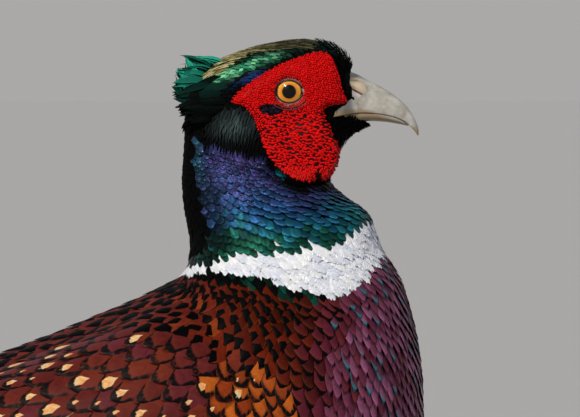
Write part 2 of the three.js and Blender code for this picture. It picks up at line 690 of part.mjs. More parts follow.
// The shares of a length at which plates begin and end, with how far they stand out there.
const plateRings = (count, from, to) => Array.from({ length: count }, (_, i) => [
  [mix(from, to, (i + 0.1) / count), 0],
  [mix(from, to, (i + 0.98) / count), PLATE_RISE],
]).flat();

function tarsus(ankle, foot, grow = 0) {
  const way = foot.clone().sub(ankle).normalize();
  const across = new THREE.Vector3(0, 1, 0);
  const front = new THREE.Vector3().crossVectors(across, way).normalize();
  const rings = [[-0.07, 0], ...plateRings(TARSUS_PLATES, 0, 0.96), [1, 0]];
  return loft(rings.map(([share, rise]) => {
    const radius = TARSUS_RADIUS * through(TARSUS_PROFILE, share) + grow;
    return circle(10, (angle) => {
      const plated = radius + rise * Math.max(0, Math.cos(angle));
      return ankle.clone().lerp(foot, share)
        .addScaledVector(front, plated * Math.cos(angle))
        .addScaledVector(across, plated * 0.84 * Math.sin(angle));
    });
  }));
}

// turn is the angle from straight ahead towards the outside.
const TOES = [
  { word: 'inner', turn: -0.52, length: 37, radius: 3.3, claw: 11 },
  { word: 'middle', turn: 0.02, length: 50, radius: 3.6, claw: 12 },
  { word: 'outer', turn: 0.55, length: 39, radius: 3.2, claw: 11 },
  { word: 'hind', turn: Math.PI - 0.25, length: 17, radius: 2.8, claw: 7 },
];
const TOE_PLATE = 8; // length of a plate on top of a toe
const TOE_TAPER = 0.68;

function toeWay(toe, side) {
  return new THREE.Vector3(Math.cos(toe.turn), side * Math.sin(toe.turn), 0);
}

// A toe rises to the ball of the foot at its root and lies flat on the ground from there.
function toeSolid(toe, centre, side) {
  const way = toeWay(toe, side);
  const across = new THREE.Vector3(-way.y, way.x, 0);
  const plates = Math.round(toe.length / TOE_PLATE);
  const rings = [[0, 0], ...plateRings(plates, 0.1, 0.98), [1, 0]];
  return loft(rings.map(([share, rise]) => {
    const radius = toe.radius * mix(1, TOE_TAPER, share);
    const high = mix(5.2, radius * 0.8, Math.min(1, share * 4));
    return circle(8, (angle) => {
      const turned = angle + Math.PI / 8;
      const lift = (radius + rise * (Math.cos(turned) > 0.5)) * Math.cos(turned);
      return centre.clone()
        .addScaledVector(way, share * toe.length)
        .addScaledVector(across, radius * Math.sin(turned))
        .setZ(Math.max(0, high + lift));
    });
  }));
}

// A horn spike from its root along way, thinning by SPIKE and curving towards bend.
const SPIKE = [1, 0.92, 0.62, 0.1];

function spike(root, way, bend, length, radius) {
  const side = new THREE.Vector3().crossVectors(way, bend).normalize();
  return loft(SPIKE.map((size, i) => {
    const share = i / (SPIKE.length - 1);
    return circle(6, (angle) => root.clone()
      .addScaledVector(way, length * share)
      .addScaledVector(bend, length * 0.25 * share ** 2 - Math.cos(angle) * radius * size)
      .addScaledVector(side, Math.sin(angle) * radius * size * 0.8));
  }));
}

const ball = (centre, radius) => solidOf(
  new THREE.SphereGeometry(radius, 12, 8),
  new THREE.Matrix4().makeTranslation(centre.x, centre.y, HUB.z));

LEGS.forEach(({ side, word, ahead }) => {
  const centre = new THREE.Vector3(STANCE_X + ahead, side * FOOT_SPREAD, 0);
  const foot = centre.clone().setZ(HUB.z + FOOT_RISE);
  const ankle = new THREE.Vector3(centre.x - ANKLE.back, centre.y, ANKLE.z);
  const hip = new THREE.Vector3(HIP.x + ahead * 0.3, side * HIP.y, HIP.z);

  const drumstick = thigh(hip, ankle).subtract(trunkShell).subtract(tarsus(ankle, foot, GAP));
  addNode(`thigh_${word}`, joined([drumstick]), FINISH.belly);

  const shin = tarsus(ankle, foot).subtract(ball(centre, HUB.radius + GAP));
  addNode(`leg_${word}`, joined([shin]), FINISH.leg);

  const ground = solidOf(new THREE.BoxGeometry(40, 40, 10),
    new THREE.Matrix4().makeTranslation(centre.x, centre.y, -5));
  const hub = ball(centre, HUB.radius).subtract(ground);
  const toes = TOES.map((toe) => toeSolid(toe, centre, side));
  addNode(`foot_${word}`, joined([hub, ...toes]), FINISH.leg);

  TOES.forEach((toe) => {
    const way = toeWay(toe, side);
    const radius = toe.radius * TOE_TAPER * 0.9;
    const root = centre.clone().addScaledVector(way, toe.length + GAP).setZ(radius + GAP);
    const down = new THREE.Vector3(0, 0, -1);
    const claw = spike(root, way.clone().setZ(0.14).normalize(), down, toe.claw, radius);
    addNode(`claw_${toe.word}_${word}`, claw, FINISH.claw);
  });

  const spurRoot = foot.clone().lerp(ankle, SPUR.at);
  const behind = new THREE.Vector3(-1, -side * 0.25, -0.1).normalize();
  const up = new THREE.Vector3(0, 0, 1);
  const spur = spike(spurRoot, behind, up, SPUR.length, SPUR.radius)
    .subtract(tarsus(ankle, foot, GAP));
  addNode(`spur_${word}`, joined([spur]), FINISH.horn);
});

const extent = new THREE.Box3().setFromObject(bird);
bird.position.set(
  -(extent.min.x + extent.max.x) / 2,
  -(extent.min.y + extent.max.y) / 2,
  -extent.min.z,
);

export default bird;
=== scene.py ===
import logging
import math
from dataclasses import dataclass, field
from enum import Enum
from itertools import product
from typing import Callable, Dict, List, Optional, Sequence, Tuple

import bpy
import numpy as np
from mathutils import Matrix, Vector
from mathutils.bvhtree import BVHTree
from mathutils.kdtree import KDTree


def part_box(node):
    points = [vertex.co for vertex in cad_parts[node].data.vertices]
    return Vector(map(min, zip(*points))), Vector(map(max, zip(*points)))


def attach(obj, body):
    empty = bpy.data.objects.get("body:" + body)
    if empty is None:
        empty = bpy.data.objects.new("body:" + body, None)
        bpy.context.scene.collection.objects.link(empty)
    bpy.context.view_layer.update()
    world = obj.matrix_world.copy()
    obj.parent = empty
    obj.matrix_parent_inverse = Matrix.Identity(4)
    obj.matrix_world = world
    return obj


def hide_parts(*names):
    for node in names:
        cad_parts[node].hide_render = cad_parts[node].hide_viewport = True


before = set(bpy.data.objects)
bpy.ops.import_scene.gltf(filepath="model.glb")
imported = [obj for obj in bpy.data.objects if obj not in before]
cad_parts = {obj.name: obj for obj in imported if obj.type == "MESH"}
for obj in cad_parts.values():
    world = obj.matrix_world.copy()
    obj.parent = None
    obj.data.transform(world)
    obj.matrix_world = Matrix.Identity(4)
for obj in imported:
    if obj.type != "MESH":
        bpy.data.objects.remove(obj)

# Short names for the types that are used most
Array = np.ndarray
Material = bpy.types.Material
Socket = bpy.types.NodeSocket
Line = Sequence[Tuple[float, float]]

LOG = logging.getLogger("pheasant")
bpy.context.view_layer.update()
MM = 0.001
TURN = 2 * math.pi
SEED = 20
# Driving sizes: the eye's height over the floor, its radius and its depth from the middle, the
# longest tail feather, the bare shank's length and radius, and each foot's way off the middle
EYE_HEIGHT = 345.0
EYE_RADIUS = 6.3
EYE_DEPTH = 11.6
TAIL_LENGTH = 480.0
TARSUS_LENGTH = 68.0
TARSUS_RADIUS = 4.1
FOOT_SPREAD = 37.0
EYE_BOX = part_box("eye_right")
SHIFT = np.array([(EYE_BOX[0].x + EYE_BOX[1].x) / 2 / MM, 0.0, 0.0])


class Side(Enum):
    """The bird's sides, as the sign of y."""

    LEFT = 1
    RIGHT = -1


SIDES = tuple((side.value, side.name.lower()) for side in Side)


def linear(colour: str) -> Tuple[float, float, float, float]:
    """Turn an sRGB hex colour into linear light.

    Args:
        colour: The colour as #RRGGBB.

    Returns:
        Red, green, blue and a full alpha.
    """
    parts = [int(colour[i:i + 2], 16) / 255 for i in (1, 3, 5)]
    light = [p / 12.92 if p <= 0.04045 else ((p + 0.055) / 1.055) ** 2.4 for p in parts]
    return light[0], light[1], light[2], 1.0


def hues(*colours: str) -> Array:
    """Return several hex colours as rows of linear red, green and blue."""
    return np.array([linear(c)[:3] for c in colours])


def ease(low: float, high: float, value: Array) -> Array:
    """Return 0 below low, 1 above high and a smooth step between."""
    share = np.clip((value - low) / (high - low), 0, 1)
    return share * share * (3 - 2 * share)


def blend(a: object, b: object, share: Array) -> Array:
    """Mix colours.

    Args:
        a: Rows of colours, or one hex colour for all of them.
        b: The same for what they are mixed towards.
        share: How much of b each row takes, from 0 to 1.

    Returns:
        A row for every share.
    """
    a, b = (hues(c) if isinstance(c, str) else c for c in (a, b))
    return a + (b - a) * np.asarray(share)[..., None]


def through(points: Line, value: Array) -> Array:
    """Return the height at value of the line through points."""
    xs, ys = zip(*points)
    return np.interp(value, xs, ys)


def unit(vectors: Array) -> Array:
    """Return vectors at length one."""
    return vectors / np.maximum(np.linalg.norm(vectors, axis=-1, keepdims=True), 1e-9)


def catmull(points: Array, at: Array) -> Array:
    """Follow a uniform Catmull-Rom curve.

    Args:
        points: The curve's points, one per row.
        at: Places along it, where 1 is the second point.

    Returns:
        A row for every place.
    """
    last = len(points) - 1
    i = np.clip(np.floor(at).astype(int), 0, last - 1)
    w = (at - i)[..., None]
    a, b = points[np.maximum(i - 1, 0)], points[i]
    c, d = points[i + 1], points[np.minimum(i + 2, last)]
    return (((-a + 3 * b - 3 * c + d) * w + 2 * a - 5 * b + 4 * c - d) * w + c - a) * w / 2 + b


def per(size: float) -> float:
    """Return the scale of a pattern whose grain is size millimetres wide."""
    return 1 / (size * MM)


# Nodes and meshes


class Graph:
    """A node tree that is being written."""

    def __init__(self, tree: bpy.types.NodeTree) -> None:
        """Start on a tree."""
        self.tree = tree

    def add(self, kind: str, *values: object, stops: Sequence[Tuple[float, str]] = (),
            inputs: Optional[Dict[str, object]] = None, **settings: object) -> Socket:
        """Add a node with its settings and links.

        Args:
            kind: The node's type, and after a space its operation where it has one.
            values: A number, colour or socket for each input in turn, None to leave it.
            stops: Places and colours for a colour ramp.
            inputs: The same as values for inputs by name.
            settings: Properties of the node.

        Returns:
            Its first output.
        """
        kind, _, operation = kind.partition(" ")
        node = self.tree.nodes.new(kind)
        if operation:
            node.operation = operation
        for name, value in settings.items():
            setattr(node, name, value)
        for i, (place, colour) in enumerate(stops):
            ramp = node.color_ramp.elements
            stop = ramp[i] if i < 2 else ramp.new(place)
            stop.position, stop.color = place, linear(colour)
        for key, value in [*enumerate(values), *(inputs or {}).items()]:
            if isinstance(value, Socket):
                self.tree.links.new(value, node.inputs[key])
            elif value is not None:
                node.inputs[key].default_value = value
        return node.outputs[0] if node.outputs else None


# Kinds of node, those that reckon with their operation
PLUS = "ShaderNodeMath ADD"
MINUS = "ShaderNodeMath SUBTRACT"
TIMES = "ShaderNodeMath MULTIPLY"
OVER = "ShaderNodeMath DIVIDE"
TIMES_PLUS = "ShaderNodeMath MULTIPLY_ADD"
RAISED = "ShaderNodeMath POWER"
SINE = "ShaderNodeMath SINE"
ARCTAN = "ShaderNodeMath ARCTAN2"
SIZE_OF = "ShaderNodeMath ABSOLUTE"
LARGEST = "ShaderNodeMath MAXIMUM"
ROW_MINUS = "ShaderNodeVectorMath SUBTRACT"
ROW_TIMES = "ShaderNodeVectorMath MULTIPLY"
ROW_DOT = "ShaderNodeVectorMath DOT_PRODUCT"
ROW_LENGTH = "ShaderNodeVectorMath LENGTH"
SPLIT = "ShaderNodeSeparateXYZ"
JOINED = "ShaderNodeCombineXYZ"
MIX = "ShaderNodeMixRGB"
RAMP = "ShaderNodeValToRGB"
RANGE = "ShaderNodeMapRange"
NOISE = "ShaderNodeTexNoise"
BUMP = "ShaderNodeBump"
PRINCIPLED = "ShaderNodeBsdfPrincipled"
OUTPUT = "ShaderNodeOutputMaterial"
SMOOTH = {"interpolation_type": "SMOOTHSTEP"}


def blank(name: str) -> Tuple[Material, Graph]:
    """Start a material.

    Args:
        name: The finish's name.

    Returns:
        An empty node material, and the graph to write it with.
    """
    made = bpy.data.materials.new(name)
    made.use_nodes = True
    made.node_tree.nodes.clear()
    return made, Graph(made.node_tree)


@dataclass
class Shape:
    """Points, faces and the values that ride on them, before they become a mesh."""

    points: Array
    faces: List[Array]
    colours: Dict[str, Array] = field(default_factory=dict)
    vectors: Dict[str, Array] = field(default_factory=dict)
    maps: Dict[str, Array] = field(default_factory=dict)

    @staticmethod
    def together(shapes: Sequence["Shape"]) -> "Shape":
        """Join shapes that carry the same values.

        Args:
            shapes: What to join.

        Returns:
            All of them as one shape.
        """
        shift, faces = 0, []
        for shape in shapes:
            faces += [f + shift for f in shape.faces]
            shift += len(shape.points)
        first = shapes[0]
        gather = lambda pick: {k: np.concatenate([pick(s)[k] for s in shapes]) for k in pick(first)}
        return Shape(np.concatenate([s.points for s in shapes]), faces,
                     gather(lambda s: s.colours), gather(lambda s: s.vectors),
                     gather(lambda s: s.maps))

    def mesh(self, name: str, sharp: Optional[float] = None) -> bpy.types.Mesh:
        """Make a mesh in metres of the shared frame.

        Args:
            name: The mesh's name.
            sharp: The angle in degrees past which an edge shows.

        Returns:
            The mesh, shaded smooth.
        """
        mesh = bpy.data.meshes.new(name)
        mesh.vertices.add(len(self.points))
        mesh.vertices.foreach_set("co", ((self.points + SHIFT) * MM).astype(np.float32).ravel())
        sizes = np.concatenate([np.full(len(f), f.shape[1]) for f in self.faces])
        loops = np.concatenate([f.ravel() for f in self.faces]).astype(np.int32)
        mesh.loops.add(len(loops))
        mesh.loops.foreach_set("vertex_index", loops)
        mesh.polygons.add(len(sizes))
        mesh.polygons.foreach_set("loop_start", (np.cumsum(sizes) - sizes).astype(np.int32))
        mesh.update(calc_edges=True)
        mesh.shade_smooth()
        if sharp is not None:
            mesh.set_sharp_from_angle(angle=math.radians(sharp))
        for key, rows in self.colours.items():
            rows = np.hstack([rows, np.ones((len(rows), 1))]).astype(np.float32)
            mesh.color_attributes.new(key, "FLOAT_COLOR", "POINT").data.foreach_set(
                "color", rows.ravel())
        for key, rows in self.vectors.items():
            mesh.attributes.new(key, "FLOAT_VECTOR", "POINT").data.foreach_set(
                "vector", rows.astype(np.float32).ravel())
        for key, rows in self.maps.items():
            mesh.uv_layers.new(name=key).data.foreach_set(
                "uv", rows[loops].astype(np.float32).ravel())
        return mesh


def put(name: str, mesh: bpy.types.Mesh, material: Optional[Material], slot: str,
        *nodes: str) -> bpy.types.Object:
    """Give a mesh its material and its place in the frame.

    Args:
        name: The piece's name.
        mesh: Its mesh.
        material: Its finish, or None where the mesh has it.
        slot: The record's slot; not used.
        nodes: The solids that it stands for.

    Returns:
        The piece.
    """
    mesh.name = name
    if material is not None:
        mesh.materials.clear()
        mesh.materials.append(material)
    made = bpy.data.objects.new(name, mesh)
    bpy.context.scene.collection.objects.link(made)
    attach(made, "root")
    if nodes:
        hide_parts(*nodes)
    LOG.info("%s: %d faces", name, len(mesh.polygons))
    return made


def loft(rings: Array) -> Shape:
    """Join rings of like points into a closed form with a fan over each end.

    Args:
        rings: Ring by point by coordinate, each ring anticlockwise seen from the last one.

    Returns:
        The closed form, facing out.
    """
    n, k = rings.shape[:2]
    at = np.arange(n * k).reshape(n, k)
    near = np.roll(at, -1, axis=1)
    quads = np.stack([at[:-1], near[:-1], near[1:], at[1:]], -1).reshape(-1, 4)
    first = np.stack([near[0], at[0], np.full(k, n * k)], -1)
    last = np.stack([at[-1], near[-1], np.full(k, n * k + 1)], -1)
    points = np.vstack([rings.reshape(-1, 3), rings[0].mean(0), rings[-1].mean(0)])
    shape = Shape(points, [quads, np.vstack([first, last])])
    a, b, c = (points[quads[:, i]] for i in range(3))
    if np.einsum("ij,ij->i", a - points.mean(0), np.cross(b - a, c - a)).sum() < 0:
        shape.faces = [f[:, ::-1] for f in shape.faces]
    return shape


# The surface that the coat lies on


class Lie:
    """A rounded surface as a table, on which feathers are laid and walked along.

    Its rows run along the form and its columns round it. Feathers point towards the first row.
    """

    def __init__(self, points: Array, first: float, step: float) -> None:
        """Measure the surface.

        Args:
            points: Row by column by coordinate. Column 0 follows the last one again.
            first: The place of row 0.
            step: From one row's place to the next.
        """
        self.points, self.first, self.step = points, first, step
        self.rows, self.columns = points.shape[:2]
        self.end = first + step * (self.rows - 1)
        along = np.gradient(points, step, axis=0)
        turned = (np.roll(points, -1, 1) - np.roll(points, 1, 1)) * self.columns / (2 * TURN)
        normal = unit(np.cross(along, turned))
        outward = points - points.mean(1, keepdims=True)
        if (normal * outward).sum() < 0:
            normal = -normal
        self.normal = normal
        self.way = -unit(along)
        self.pace = np.maximum(np.linalg.norm(along, axis=-1), 0.6)[..., None]
        self.girth = np.maximum(np.linalg.norm(turned, axis=-1), 0.6)[..., None]

    def read(self, table: Array, t: Array, a: Array) -> Array:
        """Look a table up between its rows and columns.

        Args:
            table: Row by column by value.
            t: Places along.
            a: Angles round, in radians.

        Returns:
            The values at each place.
        """
        r = np.clip((t - self.first) / self.step, 0, self.rows - 1.001)
        c = (a / TURN * self.columns) % self.columns
        i, j = r.astype(int), c.astype(int) % self.columns
        fr, fc = (r - i)[..., None], (c - np.floor(c))[..., None]
        k = (j + 1) % self.columns
        low = table[i, j] * (1 - fc) + table[i, k] * fc
        return low * (1 - fr) + (table[i + 1, j] * (1 - fc) + table[i + 1, k] * fc) * fr

    def at(self, t: Array, a: Array, high: Array = 0.0) -> Array:
        """Return the points that stand high over the surface at places t, a."""
        high = np.asarray(high, float)[..., None]
        return self.read(self.points, t, a) + self.read(self.normal, t, a) * high

    def step_on(self, t: Array, a: Array, on: Array, round_: Array) -> Tuple[Array, Array]:
        """Move by millimetres along the feathers' way and round it."""
        return (t - on / self.read(self.pace, t, a)[..., 0],
                a + round_ / self.read(self.girth, t, a)[..., 0])

    def path(self, t: Array, a: Array, length: Array, yaw: Array,
             count: int) -> Tuple[Array, Array]:
        """Walk from each place in a steady direction.

        Args:
            t: Starts along.
            a: Starts round.
            length: How far to go; below 0 is against the feathers' way.
            yaw: The angle from the feathers' way.
            count: The number of stops after the start.

        Returns:
            Place and angle at the start and every stop, the stops along the last axis.
        """
        ts, angles = [t], [a]
        for _ in range(count):
            on = length / count * np.cos(yaw)
            over = length / count * np.sin(yaw)
            mid = self.step_on(ts[-1], angles[-1], on / 2, over / 2)
            dt = on / self.read(self.pace, *mid)[..., 0]
            da = over / self.read(self.girth, *mid)[..., 0]
            ts.append(ts[-1] - dt)
            angles.append(angles[-1] + da)
        return np.stack(ts, -1), np.stack(angles, -1)


STATIONS = np.array([
    # upper outline x and z, lower outline x and z, half width, how the width leans to the back
    (-332, 176, -330, 160, 7, 0), (-290, 188, -288, 165, 14, 0),
    (-246, 199, -243, 172, 19, 0), (-205, 217, -212, 149, 35, -0.02),
    (-160, 234.5, -170, 129, 51, -0.06), (-117, 249.5, -118, 119, 60, -0.08),
    (-82, 262.5, -62, 121, 62, -0.08), (-57, 272.7, -10, 141, 59, -0.04),
    (-43, 279, 27, 173, 54, 0), (-36.5, 282.7, 42, 212, 49, 0.02),
    (-33.8, 286, 44.3, 247, 43, 0.02), (-33, 289.5, 38.6, 279, 36, 0),
    (-32.6, 295.5, 28.6, 302, 29.5, 0), (-34.4, 305, 20, 309.3, 25, 0),
    (-35.2, 316, 14.2, 314, 21.8, 0), (-34.4, 328, 13, 317.6, 19.4, 0),
    (-33.8, 339.5, 14.2, 320.8, 17.6, 0.03), (-29.5, 350.5, 15.8, 323.8, 17, 0.06),
    (-16, 357.6, 17.8, 327.2, 16.6, 0.12), (0.5, 361.2, 20.2, 330, 15, 0.2),
    (12, 360.8, 22.4, 332.2, 12.6, 0.22), (18.2, 357.2, 24.6, 334, 9.8, 0.2),
    (20.6, 352.2, 26.8, 335, 6.6, 0.12),
])
SQUARENESS = 2.25
# How far the lower outline is drawn in, so that the breast swells out from under the ring
TUCK = ((8.5, 0), (9.05, 0.5), (9.3, 1.8), (9.5, 3.1), (9.72, 2.6), (10, 1), (11.5, 0.7), (12.3, 0))
TAIL_PLACE, BILL_PLACE = -2.0, 20.0
WING_RISE = ((1.2, 0), (2.0, 7), (3.2, 10.2), (4.6, 11), (5.4, 9.6), (5.9, 6.2), (6.6, 0))


def section_point(t: Array, a: Array, grow: Array = 0.0) -> Array:
    """Return points of the body's form.

    Args:
        t: Places from the tail's root, 0, to the bill's, 20.
        a: Angles, 0 on the upper outline and positive to the bird's left.
        grow: How far outside the form.

    Returns:
        A point for every place.
    """
    s = catmull(STATIONS, t - TAIL_PLACE)
    back, front, half, fuller = s[..., 0:2], s[..., 2:4], s[..., 4], s[..., 5]
    up = unit(back - front)
    front = front + up * through(TUCK, t)[..., None]
    depth = np.linalg.norm(back - front, axis=-1, keepdims=True)
    middle = (back + front) / 2
    high = np.sign(np.cos(a)) * np.abs(np.cos(a)) ** (2 / SQUARENESS)
    wide = np.sign(np.sin(a)) * np.abs(np.sin(a)) ** (2 / SQUARENESS) * (1 + fuller * high)
    reach = (high * (depth[..., 0] / 2 + grow))[..., None]
    flat = middle + up * reach
    return np.stack([flat[..., 0], wide * (half + grow), flat[..., 1]], -1)


def to_side(a: Array) -> Array:
    """Return the angle from the upper outline, 0 to pi, on either side."""
    return np.abs((a + math.pi) % TURN - math.pi)


def wing_rise(t: Array, a: Array) -> Array:
    """Return how far the folded wing lifts the coat."""
    s = to_side(a)
    return through(WING_RISE, t) * ease(0.3, 0.85, s) * (1 - ease(1.5, 1.95, s))


def body_lie() -> Lie:
    """Measure the body with its folded wings under the coat, from tail to bill.

    Returns:
        Its surface.
    """
    step, columns = 0.02, 176
    t = np.arange(TAIL_PLACE, BILL_PLACE + step / 2, step)[:, None]
    a = (np.arange(columns) * TURN / columns)[None, :]
    t, a = np.broadcast_arrays(t, a)
    return Lie(section_point(t, a, wing_rise(t, a)), TAIL_PLACE, step)


# Where tracts meet, as the place along for each angle from the upper outline
RING_FOOT = ((0, 6.9), (0.24, 7.1), (0.37, 7.62), (0.57, 8.17), (0.76, 8.48), (1.03, 8.7),
             (1.3, 8.76), (1.5, 8.67), (1.8, 8.7), (1.96, 8.74), (2.06, 8.86), (2.26, 9.0),
             (2.49, 9.18), (2.73, 9.3), (3.14, 9.33))
RING_TOP = ((0, 7.7), (0.24, 7.98), (0.37, 8.28), (0.57, 8.63), (0.82, 8.98), (1.15, 9.32),
            (1.43, 9.36), (1.63, 9.42), (1.87, 9.48), (2.15, 9.6), (2.4, 9.72), (2.66, 9.79),
            (3.14, 9.86))
UNDER_RING_WIDTH = ((0.3, 0.5), (0.57, 0.6), (0.76, 0.62), (1.02, 0.54), (1.25, 0.46),
                    (1.43, 0.38), (1.6, 0.2), (1.8, 0.12), (2.1, 0))
HEAD_FOOT = ((0, 13.6), (0.5, 13.2), (0.82, 12.86), (1.5, 12.72), (1.64, 12.8), (1.85, 12.2),
             (2.06, 11.75), (3.14, 12.0))
# Where tracts meet, as the angle for each place along
SCAPULAR_EDGE = ((1.9, 0.3), (3.5, 0.4), (4.16, 0.43), (4.84, 0.66), (5.64, 0.9), (6.4, 1.19))
CHEST_EDGE = ((6.9, 1.42), (7.4, 1.46), (8.5, 1.56))
WING_FOOT = ((1.9, 1.6), (3, 1.68), (4.7, 1.9))
SHOULDER_EDGE = ((5.5, 1.02), (5.78, 1.06), (6.4, 1.24), (6.76, 1.44))
BREAST_EDGE = ((4.4, 2.0), (6.9, 1.76), (7.9, 1.73), (8.34, 1.81), (8.7, 1.93))
# The angle past which most scapulars have their cream spot
SPOT_EDGE = ((3.9, 0.1), (4.24, 0.45), (4.5, 0.72), (4.76, 0.9), (5.2, 1.08), (6.0, 1.18))
# How far round the black nape goes, by place along the neck: 0 at the ring, 1 at the head
NAPE_EDGE = ((0, 0.6), (0.3, 0.7), (0.65, 0.7), (0.85, 0.52), (1, 0.44))
# The height at each x of the crown's olive stripe, and how far under it the teal band runs
CROWN_LINE = ((-40, 336), (-33.5, 342), (-29.5, 346.9), (-25.8, 350.3), (-21.2, 355.0),
              (-16.6, 357.8), (-10.9, 359.6), (-2.8, 360.6), (6, 361))
TEAL_LINE = ((-32, 1.4), (-28, 2.4), (-24, 3.8), (-17, 5.9), (-11, 5.2), (-6, 4.2), (0, 3.2))
# Outlines seen from the side, as x and z: the red skin, and the horn that stands free
FACE_OUTLINE = np.array([
    (-19.5, 341.8), (-11.5, 349), (-2.8, 354.1), (5.5, 357.2), (12.4, 358), (15.8, 352.8),
    (17.6, 345.6), (19, 341.4), (12.4, 340), (12.2, 336), (15.6, 329), (16.8, 323.6),
    (13.4, 317), (7, 315.4), (0, 317.6), (-6, 322.6), (-10.4, 332.6), (-14.2, 339.8),
])
HORN_OUTLINE = np.array([
    (20.2, 354), (18.9, 348), (19.2, 345.5), (21.2, 342.9), (19.2, 341.2), (16.4, 339.5),
    (12.0, 336.1), (20, 336.1), (24, 335.9), (32, 335.2), (32, 354),
])


def face_ring(count: int) -> Array:
    """Return count points [x, z] round the red skin, evenly by the outline's own points."""
    closed = np.vstack([FACE_OUTLINE[-1:], FACE_OUTLINE, FACE_OUTLINE[:2]])
    return catmull(closed, 1 + np.arange(count) * len(FACE_OUTLINE) / count)


def inside(ring: Array, x: Array, z: Array) -> Array:
    """Tell which points lie inside an outline.

    Args:
        ring: The outline's points [x, z].
        x: The points' x.
        z: The points' z.

    Returns:
        True for each point inside.
    """
    odd = np.zeros(np.shape(x), bool)
    for (ax, az), (bx, bz) in zip(ring, np.roll(ring, -1, 0)):
        crosses = (az > z) != (bz > z)
        odd ^= crosses & (x < (bx - ax) * (z - az) / (bz - az + 1e-12) + ax)
    return odd


def ring_gap(ring: Array, x: Array, z: Array) -> Array:
    """Measure how far points are from an outline.

    Args:
        ring: The outline's points [x, z].
        x: The points' x.
        z: The points' z.

    Returns:
        The distance of each point, above 0 inside.
    """
    p = np.stack([x, z], -1)[..., None, :]
    a, b = ring, np.roll(ring, -1, 0)
    share = np.clip(((p - a) * (b - a)).sum(-1) / ((b - a) ** 2).sum(-1), 0, 1)
    gap = np.linalg.norm(p - a - (b - a) * share[..., None], axis=-1).min(-1)
    return np.where(inside(ring, x, z), gap, -gap)


def crown_drop(x: Array, z: Array) -> Array:
    """Return how far a point is under the line of the crown's olive stripe."""
    return through(CROWN_LINE, x) - z


# Vanes


@dataclass(frozen=True)
class Cut:
    """The outline of a small feather, and how it bends."""

    rows: Tuple[float, ...]
    widths: Tuple[float, ...]
    columns: int = 5
    lag: float = 0.12
    ragged: float = 0.0
    thick: float = 0.16
    cup: float = 0.18


class Cuts(Enum):
    """The cuts of feather that the bird wears."""

    SCALE = Cut((0, 0.3, 0.55, 0.75, 0.9, 1), (0.5, 0.9, 1, 0.98, 0.85, 0.55))
    BROAD = Cut((0, 0.25, 0.5, 0.7, 0.85, 0.95, 1), (0.5, 0.85, 1, 1, 0.84, 0.6, 0.34))
    WEDGED = Cut((0, 0.25, 0.5, 0.68, 0.8, 0.9, 1), (0.5, 0.85, 1, 0.97, 0.8, 0.52, 0.14),
                 lag=0.06)
    BLUNT = Cut((0, 0.25, 0.5, 0.75, 0.9, 0.97, 1), (0.5, 0.85, 1, 1, 0.95, 0.8, 0.6))
    FRINGED = Cut((0, 0.3, 0.6, 0.8, 0.92, 1), (0.5, 0.9, 1, 1, 0.96, 0.85), 9, 0.08, 0.1)
    SLIM = Cut((0, 0.4, 0.8, 1), (0.7, 1, 0.75, 0.2), 3, 0.05, 0.06, 0.12, 0.1)
    HAIR = Cut((0, 0.3, 0.6, 0.85, 1), (0.8, 1, 0.8, 0.5, 0.1), 3, 0, 0.04, 0.1, 0.1)
    LOOSE = Cut((0, 0.3, 0.6, 0.8, 1), (0.6, 1, 0.9, 0.7, 0.3), 5, 0.1, 0.12, 0.12, 0.2)


def cell_triangles(grid: Array, turned: bool) -> Array:
    """Cut a grid's cells in two.

    Args:
        grid: The index of every point, row by column.
        turned: Whether the triangles face the other way.

    Returns:
        Both triangles of each cell.
    """
    a, b, d, e = grid[:-1, :-1], grid[:-1, 1:], grid[1:, 1:], grid[1:, :-1]
    tris = np.concatenate([np.stack([a, b, d], -1), np.stack([a, d, e], -1)]).reshape(-1, 3)
    return tris[:, ::-1] if turned else tris


def lens(centre: Array, normal: Array, thick: float) -> Tuple[Array, Array, Array]:
    """Close sheets of points into thin solid vanes that are thickest along the middle.

    Args:
        centre: Vane by row by column by coordinate.
        normal: The same, at length one.
        thick: The thickness in the middle.

    Returns:
        Points, triangles, and for every point its index in the sheet that it came from.
    """
    n, r, c = centre.shape[:3]
    sheet = np.arange(r * c).reshape(r, c)
    under = sheet.copy()
    under[1:-1, 1:-1] = r * c + np.arange((r - 2) * (c - 2)).reshape(r - 2, c - 2)
    inner = sheet[1:-1, 1:-1].ravel()
    swell = np.zeros((r, c))
    swell[1:-1, 1:-1] = 0.5
    top = (centre + normal * (thick * swell)[None, :, :, None]).reshape(n, r * c, 3)
    low = (centre - normal * thick * 0.5).reshape(n, r * c, 3)[:, inner]
    points = np.concatenate([top, low], 1)
    faces = np.concatenate([cell_triangles(sheet, False), cell_triangles(under, True)])
    faces = (faces[None] + (np.arange(n) * points.shape[1])[:, None, None]).reshape(-1, 3)
    return points.reshape(-1, 3), faces, np.concatenate([np.arange(r * c), inner])


@dataclass
class Lot:
    """A number of small feathers of one cut, as rows of equal length.

    Each feather has its place and angle, its size, its turn from the tract's way, two colours,
    how strong its marking is, how deep its root lies and how high its tip stands.
    """

    t: Array
    a: Array
    length: Array
    width: Array
    yaw: Array
    base: Array
    trim: Array
    mark: Array
    depth: Array
    crest: Array

    def some(self, chosen: Array) -> "Lot":
        """Return the chosen feathers."""
        return Lot(**{k: v[chosen] for k, v in self.__dict__.items()})


# How much of a feather lies behind its place, and the side of its patch on the bake's map
REACH = 0.7
PATCH = 0.003
# The length that a feather carries for its pattern is counted in these, so that it stays small
LENGTH_UNIT = 10.0
# How fast a feather rises from its root, how it shingles over its neighbour, and the disorder
RISE_BEND = 1.7
SHINGLE = 0.1
UNEVEN = 0.08


